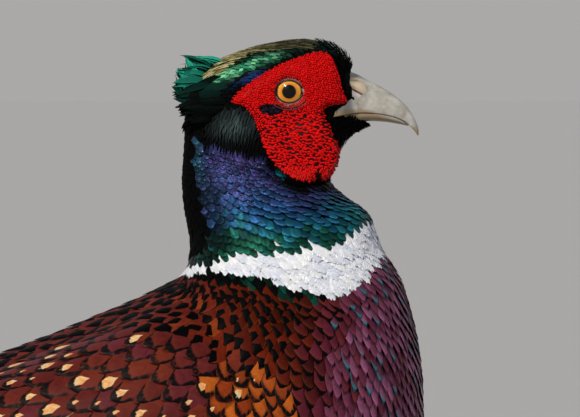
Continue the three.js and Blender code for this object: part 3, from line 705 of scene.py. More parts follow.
def small_feathers(lie: Lie, lot: Lot, cut: Cut, seed: int) -> Shape:
    """Lay small feathers along a surface.

    Args:
        lie: The surface.
        lot: The feathers, each placed by the middle of what shows of it.
        cut: Their outline.
        seed: For what varies between them.

    Returns:
        Thin closed vanes with their colours and maps.
    """
    draw = np.random.default_rng(seed)
    n, r, c = len(lot.t), len(cut.rows), cut.columns
    back_stops, stops = 6, 10
    back = lie.path(lot.t, lot.a, -REACH * lot.length, lot.yaw, back_stops)
    root_t = np.minimum(back[0][:, -1], lie.end - 0.02)
    root_a = back[1][:, -1]
    ts, angles = lie.path(root_t, root_a, lot.length, lot.yaw, stops)
    v = np.array(cut.rows)[None, :, None]
    u = np.linspace(-1, 1, c)[None, None, :]
    wide = np.array(cut.widths)[None, :, None] * lot.width[:, None, None] / 2
    wide = wide * (1 + cut.ragged * draw.uniform(-1, 0.4, (n, r, c)))
    on = v - cut.lag * u ** 2 * v ** 2
    on = on - cut.ragged * draw.uniform(0, 1.4, (n, r, c)) * (v > 0.85)
    place = np.clip(on, 0, 1) * stops
    i = np.minimum(place.astype(int), stops - 1)
    f = place - i
    vane = np.arange(n)[:, None, None]
    t = ts[vane, i] * (1 - f) + ts[vane, i + 1] * f
    a = angles[vane, i] * (1 - f) + angles[vane, i + 1] * f
    over = u * wide
    yaw = lot.yaw[:, None, None]
    pace, girth = lie.read(lie.pace, t, a)[..., 0], lie.read(lie.girth, t, a)[..., 0]
    t, a = t + over * np.sin(yaw) / pace, a + over * np.cos(yaw) / girth
    depth, crest = lot.depth[:, None, None], lot.crest[:, None, None]
    rise = 1 - (1 - np.clip(v, 0, 1)) ** RISE_BEND
    high = -depth + (depth + crest) * rise - cut.cup * np.abs(over) * u ** 2
    high = high + u * SHINGLE * np.minimum(wide, 2) + draw.normal(0, UNEVEN, (n, 1, 1))
    centre = lie.at(t, a, high)
    normal = lie.read(lie.normal, t, a)
    points, faces, source = lens(centre, normal, cut.thick)
    per = len(source)
    uv = np.stack(np.broadcast_arrays(u * 0.5 + 0.5, v), -1)[0].reshape(-1, 2)[source]
    maps = {"Vane": np.tile(uv, (n, 1))}
    # the left side mirrors the right one
    left = np.repeat(np.sin(lot.a) > 0, per)
    maps["Vane"][left, 0] = 1 - maps["Vane"][left, 0]
    home = np.stack([(root_a / TURN) % 1, (root_t - lie.first) / (lie.end - lie.first)], -1)
    home = home * (1 - PATCH) + PATCH / 2
    maps["OFBake"] = (home[:, None] + (uv[None] - 0.5) * PATCH).reshape(-1, 2)
    own = np.stack([draw.random(n), lot.mark, lot.length / LENGTH_UNIT], -1)
    spread = lambda rows: np.repeat(rows, per, axis=0)
    return Shape(points, [faces], {"base": spread(lot.base), "trim": spread(lot.trim)},
                 {"own": spread(own)}, maps)


CELL = 9.0
CLEARANCE = 0.92


def crowded(taken: Dict[Tuple[int, ...], List[Array]], key: Tuple[int, ...],
            p: Sequence[float], way: Sequence[float], along: float, across: float) -> bool:
    """Tell whether a feather is already too near.

    Args:
        taken: The chosen points, by the cell of space that they lie in.
        key: The cell of the new point.
        p: The new point.
        way: The feathers' way there.
        along: The spacing along that way, squared.
        across: The spacing across it, squared.

    Returns:
        True where one of them is within the spacing.
    """
    x, y, z = p
    wx, wy, wz = way
    for cell in product(*((k - 1, k, k + 1) for k in key)):
        for qx, qy, qz in taken.get(cell, ()):
            dx, dy, dz = qx - x, qy - y, qz - z
            on = dx * wx + dy * wy + dz * wz
            off = dx * dx + dy * dy + dz * dz - on * on
            if on * on / along + off / across < CLEARANCE:
                return True
    return False


def scatter(lie: Lie, low: float, high: float, pace: Callable, seed: int) -> Tuple[Array, Array]:
    """Choose places over a surface, closest where the feathers are small.

    Args:
        lie: The surface.
        low: Its first place.
        high: Its last place.
        pace: From place, angle and point to the spacing along and across.
        seed: For the places' small disorder.

    Returns:
        The chosen places and angles.
    """
    draw = np.random.default_rng(seed)
    chosen, taken = [], {}
    t, row, columns = low, 0, 24
    ring = np.linspace(0, TURN, columns, endpoint=False)
    while t < high:
        at = np.full(columns, t)
        along, across = pace(at, ring, lie.at(at, ring))
        girth = lie.read(lie.girth, at, ring)[..., 0].mean()
        count = max(8, int(TURN * girth / (across.min() * 0.5)))
        a = (np.arange(count) + 0.5 * (row % 2)) * TURN / count + draw.normal(0, 0.1, count) / count
        loose = draw.normal(0, 0.04, count) * along.min()
        places = t + loose / lie.read(lie.pace, np.full(count, t), a)[..., 0]
        points, ways = lie.at(places, a), lie.read(lie.way, places, a)
        da, dc = pace(places, a, points)
        for k in range(count):
            key = tuple(int(v // CELL) for v in points[k])
            if not crowded(taken, key, points[k], ways[k], da[k] ** 2, dc[k] ** 2):
                taken.setdefault(key, []).append(points[k])
                chosen.append((places[k], a[k]))
        t += 0.42 * along.min() / lie.read(lie.pace, at, ring).max()
        row += 1
    chosen = np.array(chosen)
    return chosen[:, 0], chosen[:, 1]


class Mark(Enum):
    """What is drawn on a feather."""

    PLAIN = 0
    SCALLOP = 1
    WEDGE = 2
    SPOT = 3
    EDGED = 4
    TIPPED = 5
    BARRED = 6
    STREAK = 7


@dataclass(frozen=True)
class VaneSockets:
    """The values that a feather's marking is drawn from.

    They are the place along, across and off the shaft, along a barb and towards the edge, a
    random number, the marking's strength and the length of the feather, and the mottling.
    """

    g: Graph
    v: Socket
    across: Socket
    side: Socket
    slant: Socket
    edge: Socket
    own: Socket
    amount: Socket
    length: Socket
    mottle: Socket
    wobble: Socket


@dataclass(frozen=True)
class VaneFinish:
    """Feather keratin, grown as barbs that slant from a shaft, with a tract's own marking.

    To the eye the barbs give a fine slanting grain and a soft gloss across the vane, and the
    colour of each feather differs a little from its neighbours'.
    """

    name: str
    mark: Mark
    ink: str = "#08080A"
    light: str = "#E8C878"
    roughness: float = 0.5
    metallic: float = 0.0
    sheen: float = 0.2
    sheen_tint: str = "#FFFFFF"
    anisotropy: float = 0.3
    specular: float = 0.3
    shaft: float = 0.3
    relief: float = 0.12
    rim: float = 0.8
    # the spacing of the barbs as drawn, and that of the bars, in millimetres
    barb: float = 0.77
    bar: float = 11.1

    def wedge(self, f: "VaneSockets", colour: Socket) -> Socket:
        """Draw a black triangle, its point on the shaft and askew on most feathers, and a painted
        shadow along the side edges.

        Args:
            f: The feather's values.
            colour: What it is drawn on.

        Returns:
            The marked colour.
        """
        g = f.g
        lean = g.add(RANGE, f.own, 0.0, 1.0, -0.42, 0.42)
        off = g.add(SIZE_OF, g.add(PLUS, f.across, lean))
        wide = g.add(TIMES, g.add(RANGE, f.v, 0.725, 0.87, 0.0, 1.15), f.amount)
        within = g.add(MINUS, g.add(PLUS, wide, f.wobble), off)
        mask = g.add(RANGE, within, -0.03, 0.04, **SMOOTH)
        # painted shadow: a dark line along each side edge for the shade where neighbouring feathers
        # overlap
        rim = g.add(RANGE, g.add(PLUS, f.side, f.wobble), 0.84, 0.94, 0.0, 0.85, **SMOOTH)
        return g.add(MIX, g.add(LARGEST, mask, rim), colour, linear(self.ink))

    def crescent(self, f: "VaneSockets", colour: Socket) -> Socket:
        """Draw a dark crescent inside the paler fringe, broad along the lower edge, partly painted
        shade where feathers overlap.

        Args:
            f: The feather's values.
            colour: What it is drawn on.

        Returns:
            The marked colour.
        """
        g = f.g
        low = g.add(SIZE_OF, g.add(TIMES_PLUS, f.across, 0.77, -0.23))
        arc = g.add(PLUS, g.add(LARGEST, low, g.add(RANGE, f.v, 0.7, 1.0)), f.wobble)
        arc = g.add(TIMES, g.add(RANGE, arc, 0.52, 0.64, **SMOOTH),
                    g.add(RANGE, arc, 0.96, 0.86, 0.35, 1.0, **SMOOTH))
        arc = g.add(TIMES, arc, g.add(RANGE, f.mottle, 0.32, 0.46, 0.5, 1.0))
        arc = g.add(TIMES, arc, g.add(RANGE, f.v, 0.6, 0.7))
        return g.add(MIX, arc, colour, linear(self.ink))

    def spot(self, f: "VaneSockets", colour: Socket) -> Socket:
        """Draw a crescent, a cream wedge, and past it and under it a black one.

        Args:
            f: The feather's values.
            colour: What they are drawn on.

        Returns:
            The marked colour.
        """
        g = f.g
        colour = self.crescent(f, colour)
        large = g.add(RANGE, f.own, 0.0, 1.0, 0.25, 1.0)
        rough = g.add(TIMES, f.wobble, 0.45)
        glow = g.add(MIX, g.add(RANGE, f.mottle, 0.35, 0.62, 0.0, 0.8), linear(self.light),
                     linear("#C87A34"))
        # where a wedge begins, is widest and ends, its width, its shift and its colour
        for first, full, last, wide, shift, paint in (
                (0.74, 0.9, 0.965, 0.8, 0.16, linear(self.ink)),
                (0.64, 0.8, 0.905, 0.42, -0.1, glow)):
            on = g.add(OVER, g.add(MINUS, f.v, last), large)
            half = g.add(RANGE, g.add(PLUS, on, rough), first - last, full - last, -0.04, wide)
            half = g.add(TIMES, half, large)
            off = g.add(SIZE_OF, g.add(PLUS, f.across, shift))
            mask = g.add(RANGE, g.add(MINUS, half, off), 0.0, 0.05, **SMOOTH)
            cut = g.add(RANGE, g.add(MINUS, f.v, rough), last, last - 0.015)
            mask = g.add(TIMES, g.add(TIMES, mask, cut), f.amount)
            colour = g.add(MIX, mask, colour, paint)
        return colour

    def simple(self, f: "VaneSockets") -> Socket:
        """Return how strong a rim, a tip, bars or a streak is at each place.

        Args:
            f: The feather's values.

        Returns:
            The share of the marking's colour, before the feather's own strength.
        """
        g = f.g
        if self.mark is Mark.TIPPED:
            tip = g.add(RANGE, g.add(PLUS, f.v, f.wobble), 0.84, 0.9, **SMOOTH)
            return g.add(TIMES, tip, g.add(RANGE, f.side, 0.75, 0.6, **SMOOTH))
        if self.mark is Mark.BARRED:
            count = g.add(TIMES, f.length, LENGTH_UNIT / self.bar * TURN)
            wave = g.add(PLUS, g.add(TIMES, f.slant, count), g.add(TIMES, f.wobble, 14.0))
            return g.add(RANGE, g.add(SINE, wave), 0.45, 0.75, **SMOOTH)
        if self.mark is Mark.STREAK:
            return g.add(RANGE, f.side, 0.5, 0.1, **SMOOTH)
        return g.add(RANGE, g.add(PLUS, f.edge, f.wobble), self.rim, self.rim + 0.1, **SMOOTH)

    def marked(self, f: "VaneSockets", colour: Socket) -> Socket:
        """Draw the tract's marking.

        Args:
            f: The feather's values.
            colour: What it is drawn on.

        Returns:
            The marked colour.
        """
        if self.mark is Mark.PLAIN:
            return colour
        if self.mark is Mark.WEDGE:
            return self.wedge(f, colour)
        if self.mark is Mark.SPOT:
            return self.spot(f, colour)
        return f.g.add(MIX, f.g.add(TIMES, self.simple(f), f.amount), colour, linear(self.ink))

    def dress(self) -> Material:
        """Write the material.

        Returns:
            Its node material, read from each vane's own map and values.
        """
        made, g = blank(self.name)
        u = g.add(SPLIT, g.add("ShaderNodeUVMap", uv_map="Vane"))
        v = u.node.outputs[1]
        own = g.add(SPLIT, g.add("ShaderNodeAttribute", attribute_name="own").node.outputs[1])
        length = own.node.outputs[2]
        base = g.add("ShaderNodeAttribute", attribute_name="base")
        trim = g.add("ShaderNodeAttribute", attribute_name="trim")
        across = g.add(TIMES_PLUS, u, 2.0, -1.0)
        side = g.add(SIZE_OF, across)
        # barbs slant back from the shaft, and are drawn coarser than their 0.3 mm so they show
        slant = g.add(TIMES_PLUS, side, -0.22, v)
        count = g.add(TIMES, length, LENGTH_UNIT / self.barb * TURN)
        barb = g.add(SINE, g.add(TIMES, slant, count))
        grain = g.add(JOINED, g.add(TIMES, side, 1.2), g.add(TIMES, slant, 9.0),
                      g.add(TIMES, own, 60.0))
        mottle = g.add(NOISE, grain, inputs={"Scale": 1.6, "Detail": 3.0})
        tone = g.add(TIMES, g.add(RANGE, barb, -1.0, 1.0, 0.9, 1.06),
                     g.add(RANGE, mottle, 0.3, 0.7, 0.8, 1.15))
        edge = g.add(LARGEST, g.add(RAISED, side, 3.0), g.add(RANGE, v, 0.7, 1.0))
        wobble = g.add(RANGE, mottle, 0.3, 0.7, -0.06, 0.06)
        fringe = g.add(RANGE, edge, 0.25, 0.8, **SMOOTH)
        colour = self.marked(VaneSockets(g, v, across, side, slant, edge, own, own.node.outputs[1],
                                         length, mottle, wobble), g.add(MIX, fringe, base, trim))
        shaft = g.add(RANGE, side, 0.07, 0.03, 0.0, self.shaft, **SMOOTH)
        colour = g.add(MIX, shaft, colour, trim)
        colour = g.add(MIX, 1.0, colour, tone, blend_type="MULTIPLY")
        rough = g.add(RANGE, mottle, 0.3, 0.7, self.roughness - 0.08, self.roughness + 0.1)
        bump = g.add(BUMP, inputs={"Strength": self.relief, "Distance": 0.0002, "Height": barb})
        shader = g.add(PRINCIPLED, inputs={
            "Base Color": colour, "Roughness": rough, "Metallic": self.metallic,
            "Specular IOR Level": self.specular,
            "Sheen Weight": self.sheen, "Sheen Tint": linear(self.sheen_tint),
            "Anisotropic": self.anisotropy, "Normal": bump})
        g.add(OUTPUT, shader)
        return made


# The deep matt black of velvet, whose fine barbs catch nearly no light
HEAD_VELVET = VaneFinish("velvet_black_keratin", Mark.PLAIN, roughness=0.65, sheen=0.0,
                         specular=0.025, shaft=0.0, barb=2.0)
# Colour of structure: a partly metallic keratin shines green, blue and purple in each scale
NECK_GLOSS = VaneFinish("iridescent_scale_keratin", Mark.SCALLOP, ink="#020303", roughness=0.36,
                        metallic=0.5, sheen=0.0, specular=0.1, shaft=0.0, relief=0.3, rim=0.7)
# Loose barbs without pigment, which scatter the light to a soft white
RING_WHITE = VaneFinish("white_down_keratin", Mark.PLAIN, roughness=0.75, sheen=0.3,
                        relief=0.5, shaft=0.0)
# Copper pigment with a low gloss under a black wedge at each tip
MANTLE_COPPER = VaneFinish("copper_wedged_keratin", Mark.WEDGE, ink="#030304", roughness=0.5,
                           specular=0.04, sheen=0.0, shaft=0.0)
# Maroon with a faint violet bloom, a black crescent partly of painted shade, and a cream spot
SCAPULAR_SPOT = VaneFinish("cream_spotted_keratin", Mark.SPOT, ink="#040405", light="#F0D8A4",
                           roughness=0.46, sheen=0.04, sheen_tint="#B9A8D8", specular=0.08,
                           shaft=0.1)
# Chestnut with a black edge that draws each feather
CHEST_RUST = VaneFinish("chestnut_edged_keratin", Mark.EDGED, ink="#040304", roughness=0.45,
                        metallic=0.05, sheen=0.0, specular=0.06, shaft=0.0, rim=0.62)
# Purple gloss of structure over brown, edged in black
BREAST_GLOSS = VaneFinish("purple_edged_keratin", Mark.EDGED, ink="#040406", roughness=0.36,
                          metallic=0.3, sheen=0.06, sheen_tint="#C8A0E0", specular=0.15,
                          shaft=0.25, rim=0.7)
# Golden buff with a dark tip
FLANK_GOLD = VaneFinish("golden_tipped_keratin", Mark.TIPPED, ink="#08070A", roughness=0.48,
                        metallic=0.1, sheen=0.05)
# Downy barbs that don't hook together, dull and soft
BELLY_DULL = VaneFinish("brown_down_keratin", Mark.PLAIN, roughness=0.8, sheen=0.1)
# Hair-like barbs over a dark middle, sage with a slight gloss
RUMP_HAIR = VaneFinish("green_hair_keratin", Mark.STREAK, ink="#3A2A20", roughness=0.6,
                       metallic=0.1, sheen=0.05)
# Firm buff coverts with a brown edge
WING_BUFF = VaneFinish("buff_covert_keratin", Mark.EDGED, ink="#3A241A", roughness=0.6, sheen=0.05)
# Stiff quills with brown bars across their vanes
QUILL_BARRED = VaneFinish("barred_quill_keratin", Mark.BARRED, ink="#2A1D16", roughness=0.55,
                          sheen=0.05)
TAIL_BARRED = VaneFinish("barred_tail_keratin", Mark.BARRED, ink="#1E1512", roughness=0.5,
                         sheen=0.05, bar=16.1)


class Tract(Enum):
    """The tracts of the small feathers."""

    HEAD = "head"
    CROWN = "crown"
    EAR = "ear"
    NECK = "neck"
    NAPE = "nape"
    RING = "ring"
    UNDER_RING = "under_ring"
    MANTLE = "mantle"
    SCAPULAR = "scapular"
    SHOULDER = "shoulder"
    BREAST = "breast"
    CHEST_SIDE = "chest_side"
    FLANK = "flank"
    BELLY = "belly"
    RUMP = "rump"
    BARE = "bare"


def tract_of(t: Array, a: Array, p: Array) -> Array:
    """Name the tract at places on the body.

    Args:
        t: Places along.
        a: Angles.
        p: Their points.

    Returns:
        A tract for each.
    """
    s, x, z = to_side(a), p[..., 0], p[..., 2]
    foot, top = through(RING_FOOT, s), through(RING_TOP, s)
    out = np.full(t.shape, Tract.BELLY, object)
    out[s < 2.5] = Tract.FLANK
    out[(t < 3.0) & (s < 1.75)] = Tract.RUMP
    out[(t < 0.9) & (s > 1.75)] = Tract.BELLY
    out[(t >= 4.6) & (s > 1.4)] = Tract.CHEST_SIDE
    out[(t >= 4.4) & (s > through(BREAST_EDGE, t))] = Tract.BREAST
    out[(t < 5.4) & (t > 4.2) & (s > 2.5)] = Tract.BELLY
    out[(t >= 3.0) & (s < through(CHEST_EDGE, t))] = Tract.MANTLE
    out[(t >= 1.9) & (t < 6.4) & (s > through(SCAPULAR_EDGE, t)) & (s < 1.38)] = Tract.SCAPULAR
    out[(t >= 1.9) & (t < 3.0) & (s <= 0.35)] = Tract.MANTLE
    out[(t >= 5.6) & (t < 6.7) & (s >= through(SHOULDER_EDGE, t)) & (s < 1.6)] = Tract.SHOULDER
    out[(t >= 4.7) & (t < 5.6) & (s >= 1.38) & (s < 1.85)] = Tract.SHOULDER
    out[(t < 4.7) & (s >= 1.38) & (s < through(WING_FOOT, t))] = Tract.BARE
    out[(t < 1.9) & (s >= 0.9) & (s < 1.6)] = Tract.BARE
    out[(t < 0.4) & (s < 1.75)] = Tract.RUMP
    out[t > foot - through(UNDER_RING_WIDTH, s)] = Tract.UNDER_RING
    out[t > foot] = Tract.RING
    out[t > top] = Tract.NECK
    up = (t - top) / (through(HEAD_FOOT, s) - top)
    out[(up > 0.17) & (s < through(NAPE_EDGE, up))] = Tract.NAPE
    out[t > through(HEAD_FOOT, s)] = Tract.HEAD
    ear = (t > 12.2) & (s > 0.8) & (x < -8) & (z < 338) & (s < 2.3)
    out[ear & (out == Tract.HEAD)] = Tract.EAR
    crown = crown_drop(x, z)
    out[(t > 13.7) & (np.abs(crown - 0.3) < 1.9) & (x < 6)] = Tract.CROWN
    face = ring_gap(face_ring(72), x, z) > 0.5
    out[face & (t > 12) & (s > 0.3) & (s < 2.85)] = Tract.BARE
    out[(t > 17) & inside(HORN_OUTLINE, x, z)] = Tract.BARE
    return out


# Spacing along and across, length, width, how deep the root lies, and how high the tip stands
PACES = {
    Tract.HEAD: (1.5, 1.15, 4.4, 1.8, 0.9, 0.35), Tract.EAR: (1.7, 0.95, 8.5, 1.1, 0.9, 0.45),
    Tract.CROWN: (1.7, 0.85, 9.5, 1.0, 0.9, 0.9),
    Tract.NECK: (2.3, 3.3, 8.0, 4.8, 1.8, 0.3), Tract.RING: (1.9, 2.6, 12.0, 5.4, 2.0, 0.15),
    Tract.UNDER_RING: (2.6, 2.8, 10.0, 4.2, 2.6, 0.1), Tract.NAPE: (2.3, 3.0, 9.0, 4.0, 1.8, 0.5),
    Tract.MANTLE: (5.4, 4.9, 20.0, 7.6, 3.6, 0.4),
    Tract.SCAPULAR: (8.0, 6.8, 28.0, 11.5, 4.0, 0.7),
    Tract.SHOULDER: (5.6, 5.6, 19.0, 8.8, 3.6, 0.6),
    Tract.BREAST: (5.4, 3.6, 19.0, 5.6, 3.6, 0.4),
    Tract.CHEST_SIDE: (6.0, 4.8, 20.0, 7.6, 3.6, 0.3), Tract.FLANK: (9, 8, 34.0, 13.0, 4.0, 0.6),
    Tract.BELLY: (7.5, 6.0, 26.0, 9.0, 4.0, 0.3), Tract.RUMP: (6.5, 4.6, 34.0, 6.4, 4.0, 0.5),
    Tract.BARE: (12.0, 12.0, 10.0, 5.0, 4.0, 0.0),
}
# How much smaller the feathers are at each place along, and those of the mantle on top of that
FINER = ((5.8, 1), (7.4, 0.82), (8.7, 0.66), (8.8, 0.8), (9.5, 0.8), (10.2, 0.95), (12.6, 0.6),
         (13, 1))
MANTLE_FINER = ((5.5, 1.35), (6.6, 1.12), (7.6, 1.0), (8.5, 0.92))


def finer(kind: Array, t: Array) -> Array:
    """Return how much smaller the feathers are towards the ring and up the neck."""
    size = through(FINER, t) * np.where(kind == Tract.MANTLE, through(MANTLE_FINER, t), 1)
    return np.where(np.isin(kind, [Tract.RING, Tract.UNDER_RING]), 1, size)


def coat_pace(t: Array, a: Array, p: Array) -> Tuple[Array, Array]:
    """Find how closely the feathers stand.

    Args:
        t: Places along.
        a: Angles.
        p: Their points.

    Returns:
        The spacing along and across at each place.
    """
    kinds = tract_of(t, a, p)
    rows = np.array([PACES[k][:2] for k in kinds.ravel()]).reshape(*t.shape, 2)
    fine = finer(kinds, t)
    return rows[..., 0] * fine, rows[..., 1] * fine


class Paint:
    """The colours of a number of feathers or places, by their tract and place."""

    def __init__(self, kind: Array, t: Array, a: Array, p: Array,
                 draw: np.random.Generator) -> None:
        """Colour them all.

        Args:
            kind: Each one's tract.
            t: Its place along.
            a: Its angle.
            p: Its point.
            draw: For what varies between neighbours.
        """
        n = len(t)
        self.kind, self.t, self.s = kind, t, to_side(a)
        self.x, self.z = p[:, 0], p[:, 2]
        self.chance = draw.random((n, 3))
        self.base, self.trim, self.mark = np.zeros((n, 3)), np.zeros((n, 3)), np.ones(n)
        self.neck()
        self.head()
        self.ring()
        self.back()
        self.breast()
        self.hind()

    def give(self, tract: Tract, base: Array, trim: Array, mark: object) -> None:
        """Set the colours of a tract.

        Args:
            tract: The tract.
            base: The vane's colour, a row for every feather of the coat.
            trim: The colour of its edges.
            mark: How strong its marking is.
        """
        here = self.kind == tract
        self.base[here], self.trim[here] = base[here], trim[here]
        self.mark[here] = np.broadcast_to(mark, len(here))[here]

    def neck(self) -> None:
        """Colour the neck green over the ring, then teal, blue and purple, and black behind."""
        s, r = self.s, self.chance
        top = through(RING_TOP, s)
        up = (self.t - top) / (through(HEAD_FOOT, s) - top) + (r[:, 0] - 0.5) * 0.2
        ladder = hues("#0D3C2E", "#124E42", "#1A607A", "#225084", "#284270", "#303C6C", "#1C1E40")
        steps = np.array([0.0, 0.12, 0.26, 0.42, 0.6, 0.8, 1.05])
        neck = np.stack([np.interp(up, steps, ladder[:, i]) for i in range(3)], -1)
        violet = ease(0.6, 1.0, r[:, 1] + 0.2 * ease(0.5, 0.9, up)) * ease(0.3, 0.6, up)
        neck = blend(neck, "#40346E", 0.5 * violet)
        # the throat is greener, and so is the foot of the nape
        neck = blend(neck, "#17626A", 0.6 * ease(2.0, 2.5, s) * ease(0.9, 0.6, up))
        neck = blend(neck, "#0C4636", 0.85 * ease(1.6, 1.05, s) * ease(0.5, 0.25, up))
        # a teal rim and then a dark shade along the nape's black
        past = s - through(NAPE_EDGE, up)
        rim = np.exp(-((past - 0.16) / 0.14) ** 2) * ease(0.6, 0.85, up)
        neck = blend(neck, "#16606C", 0.6 * rim)
        shade = ease(0.6, 0.2, past) * ease(0.98, 0.75, up) * (r[:, 1] < 0.78)
        neck = blend(neck, "#04090A", 0.8 * shade)
        neck = blend(neck, "#030404", ease(0.88, 1.0, up) * ease(1.5, 1.9, s))
        neck = blend(neck, "#030404", 0.4 * ease(2.85, 3.1, s))
        neck = neck * (0.45 + 0.95 * r[:, 2:3]) * (1 + 0.25 * ease(2.0, 2.5, s))[:, None]
        nape = blend("#020303", "#041210", ease(0.7, 1, r[:, 0]) * ease(0.6, 0.2, up))
        self.give(Tract.NAPE, nape, nape * 1.6, 0.0)
        self.give(Tract.NECK, neck, neck * 1.8, 0.85)

    def head(self) -> None:
        """Colour the head: black velvet, an olive-bronze crown and a teal band under it."""
        x, z, r = self.x, self.z, self.chance
        drop = crown_drop(x, z)
        head = blend("#020303", "#040706", r[:, 0])
        head = blend(head, "#16302A", 0.6 * r[:, 1] * ease(6.0, 3.0, drop) * (x > -12))
        off = drop - through(TEAL_LINE, x)
        teal = np.exp(-(off / 1.6) ** 2) * ease(2.0, -12.0, x) * (self.t > 14.0)
        blue = np.exp(-((x + 12.5) / 4.5) ** 2 - ((drop - 9.4) / 1.5) ** 2)
        green = blend("#1A7E60", "#84E0AA", r[:, 1] ** 1.2)
        lit = ease(0.1, 0.4, r[:, 2])
        share = np.minimum(1, teal * (0.45 + 0.75 * r[:, 2])) * (0.25 + 0.75 * lit)
        head = blend(head, green, share)
        head = blend(head, "#20386E", blue * 0.8 * lit)
        glint = np.exp(-((x + 4.3) ** 2 + (z - 316.3) ** 2) / 3.0)
        head = blend(head, "#1E8C9C", glint * (r[:, 2] > 0.3))
        self.give(Tract.HEAD, head, head * 1.2, 0.0)
        bronze = blend("#5A5734", "#CCC48E", r[:, 1] ** 1.1)
        bronze = blend(bronze, "#181C16", ease(-25, 3, x) * 0.86)
        self.give(Tract.CROWN, bronze, bronze * 1.2, 0.0)
        # painted sheen: the ear coverts are painted grey-green in their middle for the soft sheen
        # that they catch
        sheen = (0.5 + 0.5 * r[:, 0]) * np.exp(-((x + 18) / 6.0) ** 2
                                               - ((z - 333.6) / np.where(z < 333.6, 3.2, 4.2)) ** 2)
        ear = blend("#030404", "#566C6E", 0.55 * sheen)
        self.give(Tract.EAR, ear, ear * 1.4, 0.0)

    def ring(self) -> None:
        """Colour the white ring, and the dark green band that it hangs over."""
        r = self.chance
        white = blend("#DCE4F6", "#F4F8FF", r[:, 0])
        self.give(Tract.RING, white, white, 0.0)
        dark = blend("#040606", "#0E4034", ease(0.5, 1, r[:, 0]) * ease(0.7, 1.3, self.s))
        self.give(Tract.UNDER_RING, dark, dark, 0.5)

    def back(self) -> None:
        """Colour the mantle copper and then maroon, the scapulars, and the golden shoulder."""
        t, s, r = self.t, self.s, self.chance
        aft = ease(-10, -55, self.x)
        copper = blend("#72240D", "#4C1408", r[:, 0])
        copper = blend(copper, "#8A3A10", ease(0.75, 1, r[:, 1]) * ease(8.0, 7.2, t))
        copper = copper * (1 - 0.4 * ease(7.0, 8.0, t))[:, None]
        copper = blend(copper, blend("#541A18", "#6E2A22", r[:, 1]), 0.95 * aft)
        wedge = (0.65 + 0.7 * r[:, 2]) * (1 - 0.2 * aft) * (1 + 0.3 * ease(7.2, 8.3, t))
        # painted highlight: the mantle feathers' edges are a paler orange for the light that they
        # catch
        self.give(Tract.MANTLE, copper, blend(copper, "#A4501A", 0.28 - 0.1 * aft), wedge)
        maroon = blend("#561A17", "#6C2819", r[:, 0])
        maroon = blend(maroon, "#5A1F2A", ease(0.5, 1, r[:, 2]) * 0.8)
        spotted = r[:, 1] < np.where(s > through(SPOT_EDGE, t), 0.82, 0.06)
        self.give(Tract.SCAPULAR, maroon, blend(maroon, "#8A3E1C", 0.25), spotted * 1.0)
        gold = blend("#8C3410", "#C2641E", r[:, 0])
        gold = blend(gold, "#6A1E10", ease(0.55, 0.8, r[:, 1]) * 0.75)
        gold = blend(gold, "#5E2A18", ease(5.6, 5.3, t) * 0.7)
        self.give(Tract.SHOULDER, gold, blend(gold, "#1C0806", 0.7), (r[:, 2] < 0.3) * 1.0)

    def breast(self) -> None:
        """Colour the chest's side chestnut and the breast purple, with a painted glint, teal on
        single feathers, along the edges.
        """
        t, r = self.t, self.chance
        past = self.s - through(BREAST_EDGE, t) + (r[:, 1] - 0.5) * 0.2
        chest = blend("#2E0A08", "#5A1A0C", r[:, 0] ** 1.3)
        chest = blend(chest, "#5E2238", ease(-0.26, 0.02, past) * 0.75)
        self.give(Tract.CHEST_SIDE, chest, blend(chest, "#8A3A10", 0.25), 1.0)
        purple = blend("#581C2E", "#96567A", r[:, 0] ** 1.1)
        purple = blend(purple, "#62201C", ease(0.7, 1.0, r[:, 1]) * 0.7)
        purple = blend(purple, "#52181A", ease(0.2, -0.05, past) * 0.7)
        purple = blend(purple, "#4A1618", ease(5.4, 4.4, t))
        # painted glint: the breast feathers' edges are a lighter purple, and teal on single
        # feathers
        glint = blend(purple * 1.5, "#1F7F92", ease(0.78, 0.82, r[:, 2]))
        self.give(Tract.BREAST, purple, glint, 0.75)

    def hind(self) -> None:
        """Colour the golden flank, the dark belly and the sage rump."""
        t, s, r = self.t, self.s, self.chance
        amber = blend("#A8641E", "#C88A3C", r[:, 0])
        amber = blend(amber, "#7A3A16", ease(2.2, 2.45, s))
        self.give(Tract.FLANK, amber, amber, 1.0)
        brown = blend("#17110E", "#2A1C14", r[:, 0])
        brown = blend(brown, "#3A1C10", ease(0.9, 0.2, t))
        self.give(Tract.BELLY, brown, brown * 1.3, 0.0)
        sage = blend("#6E7A5A", "#8A9078", r[:, 0])
        sage = blend(sage, "#8A4A22", ease(0.55, 0.95, s) * (0.4 + 0.6 * r[:, 1]))
        sage = blend(sage, "#7A3018", ease(2.2, 3.0, t) * 0.8)
        self.give(Tract.RUMP, sage, blend(sage, "#A8A878", 0.4), 0.5)


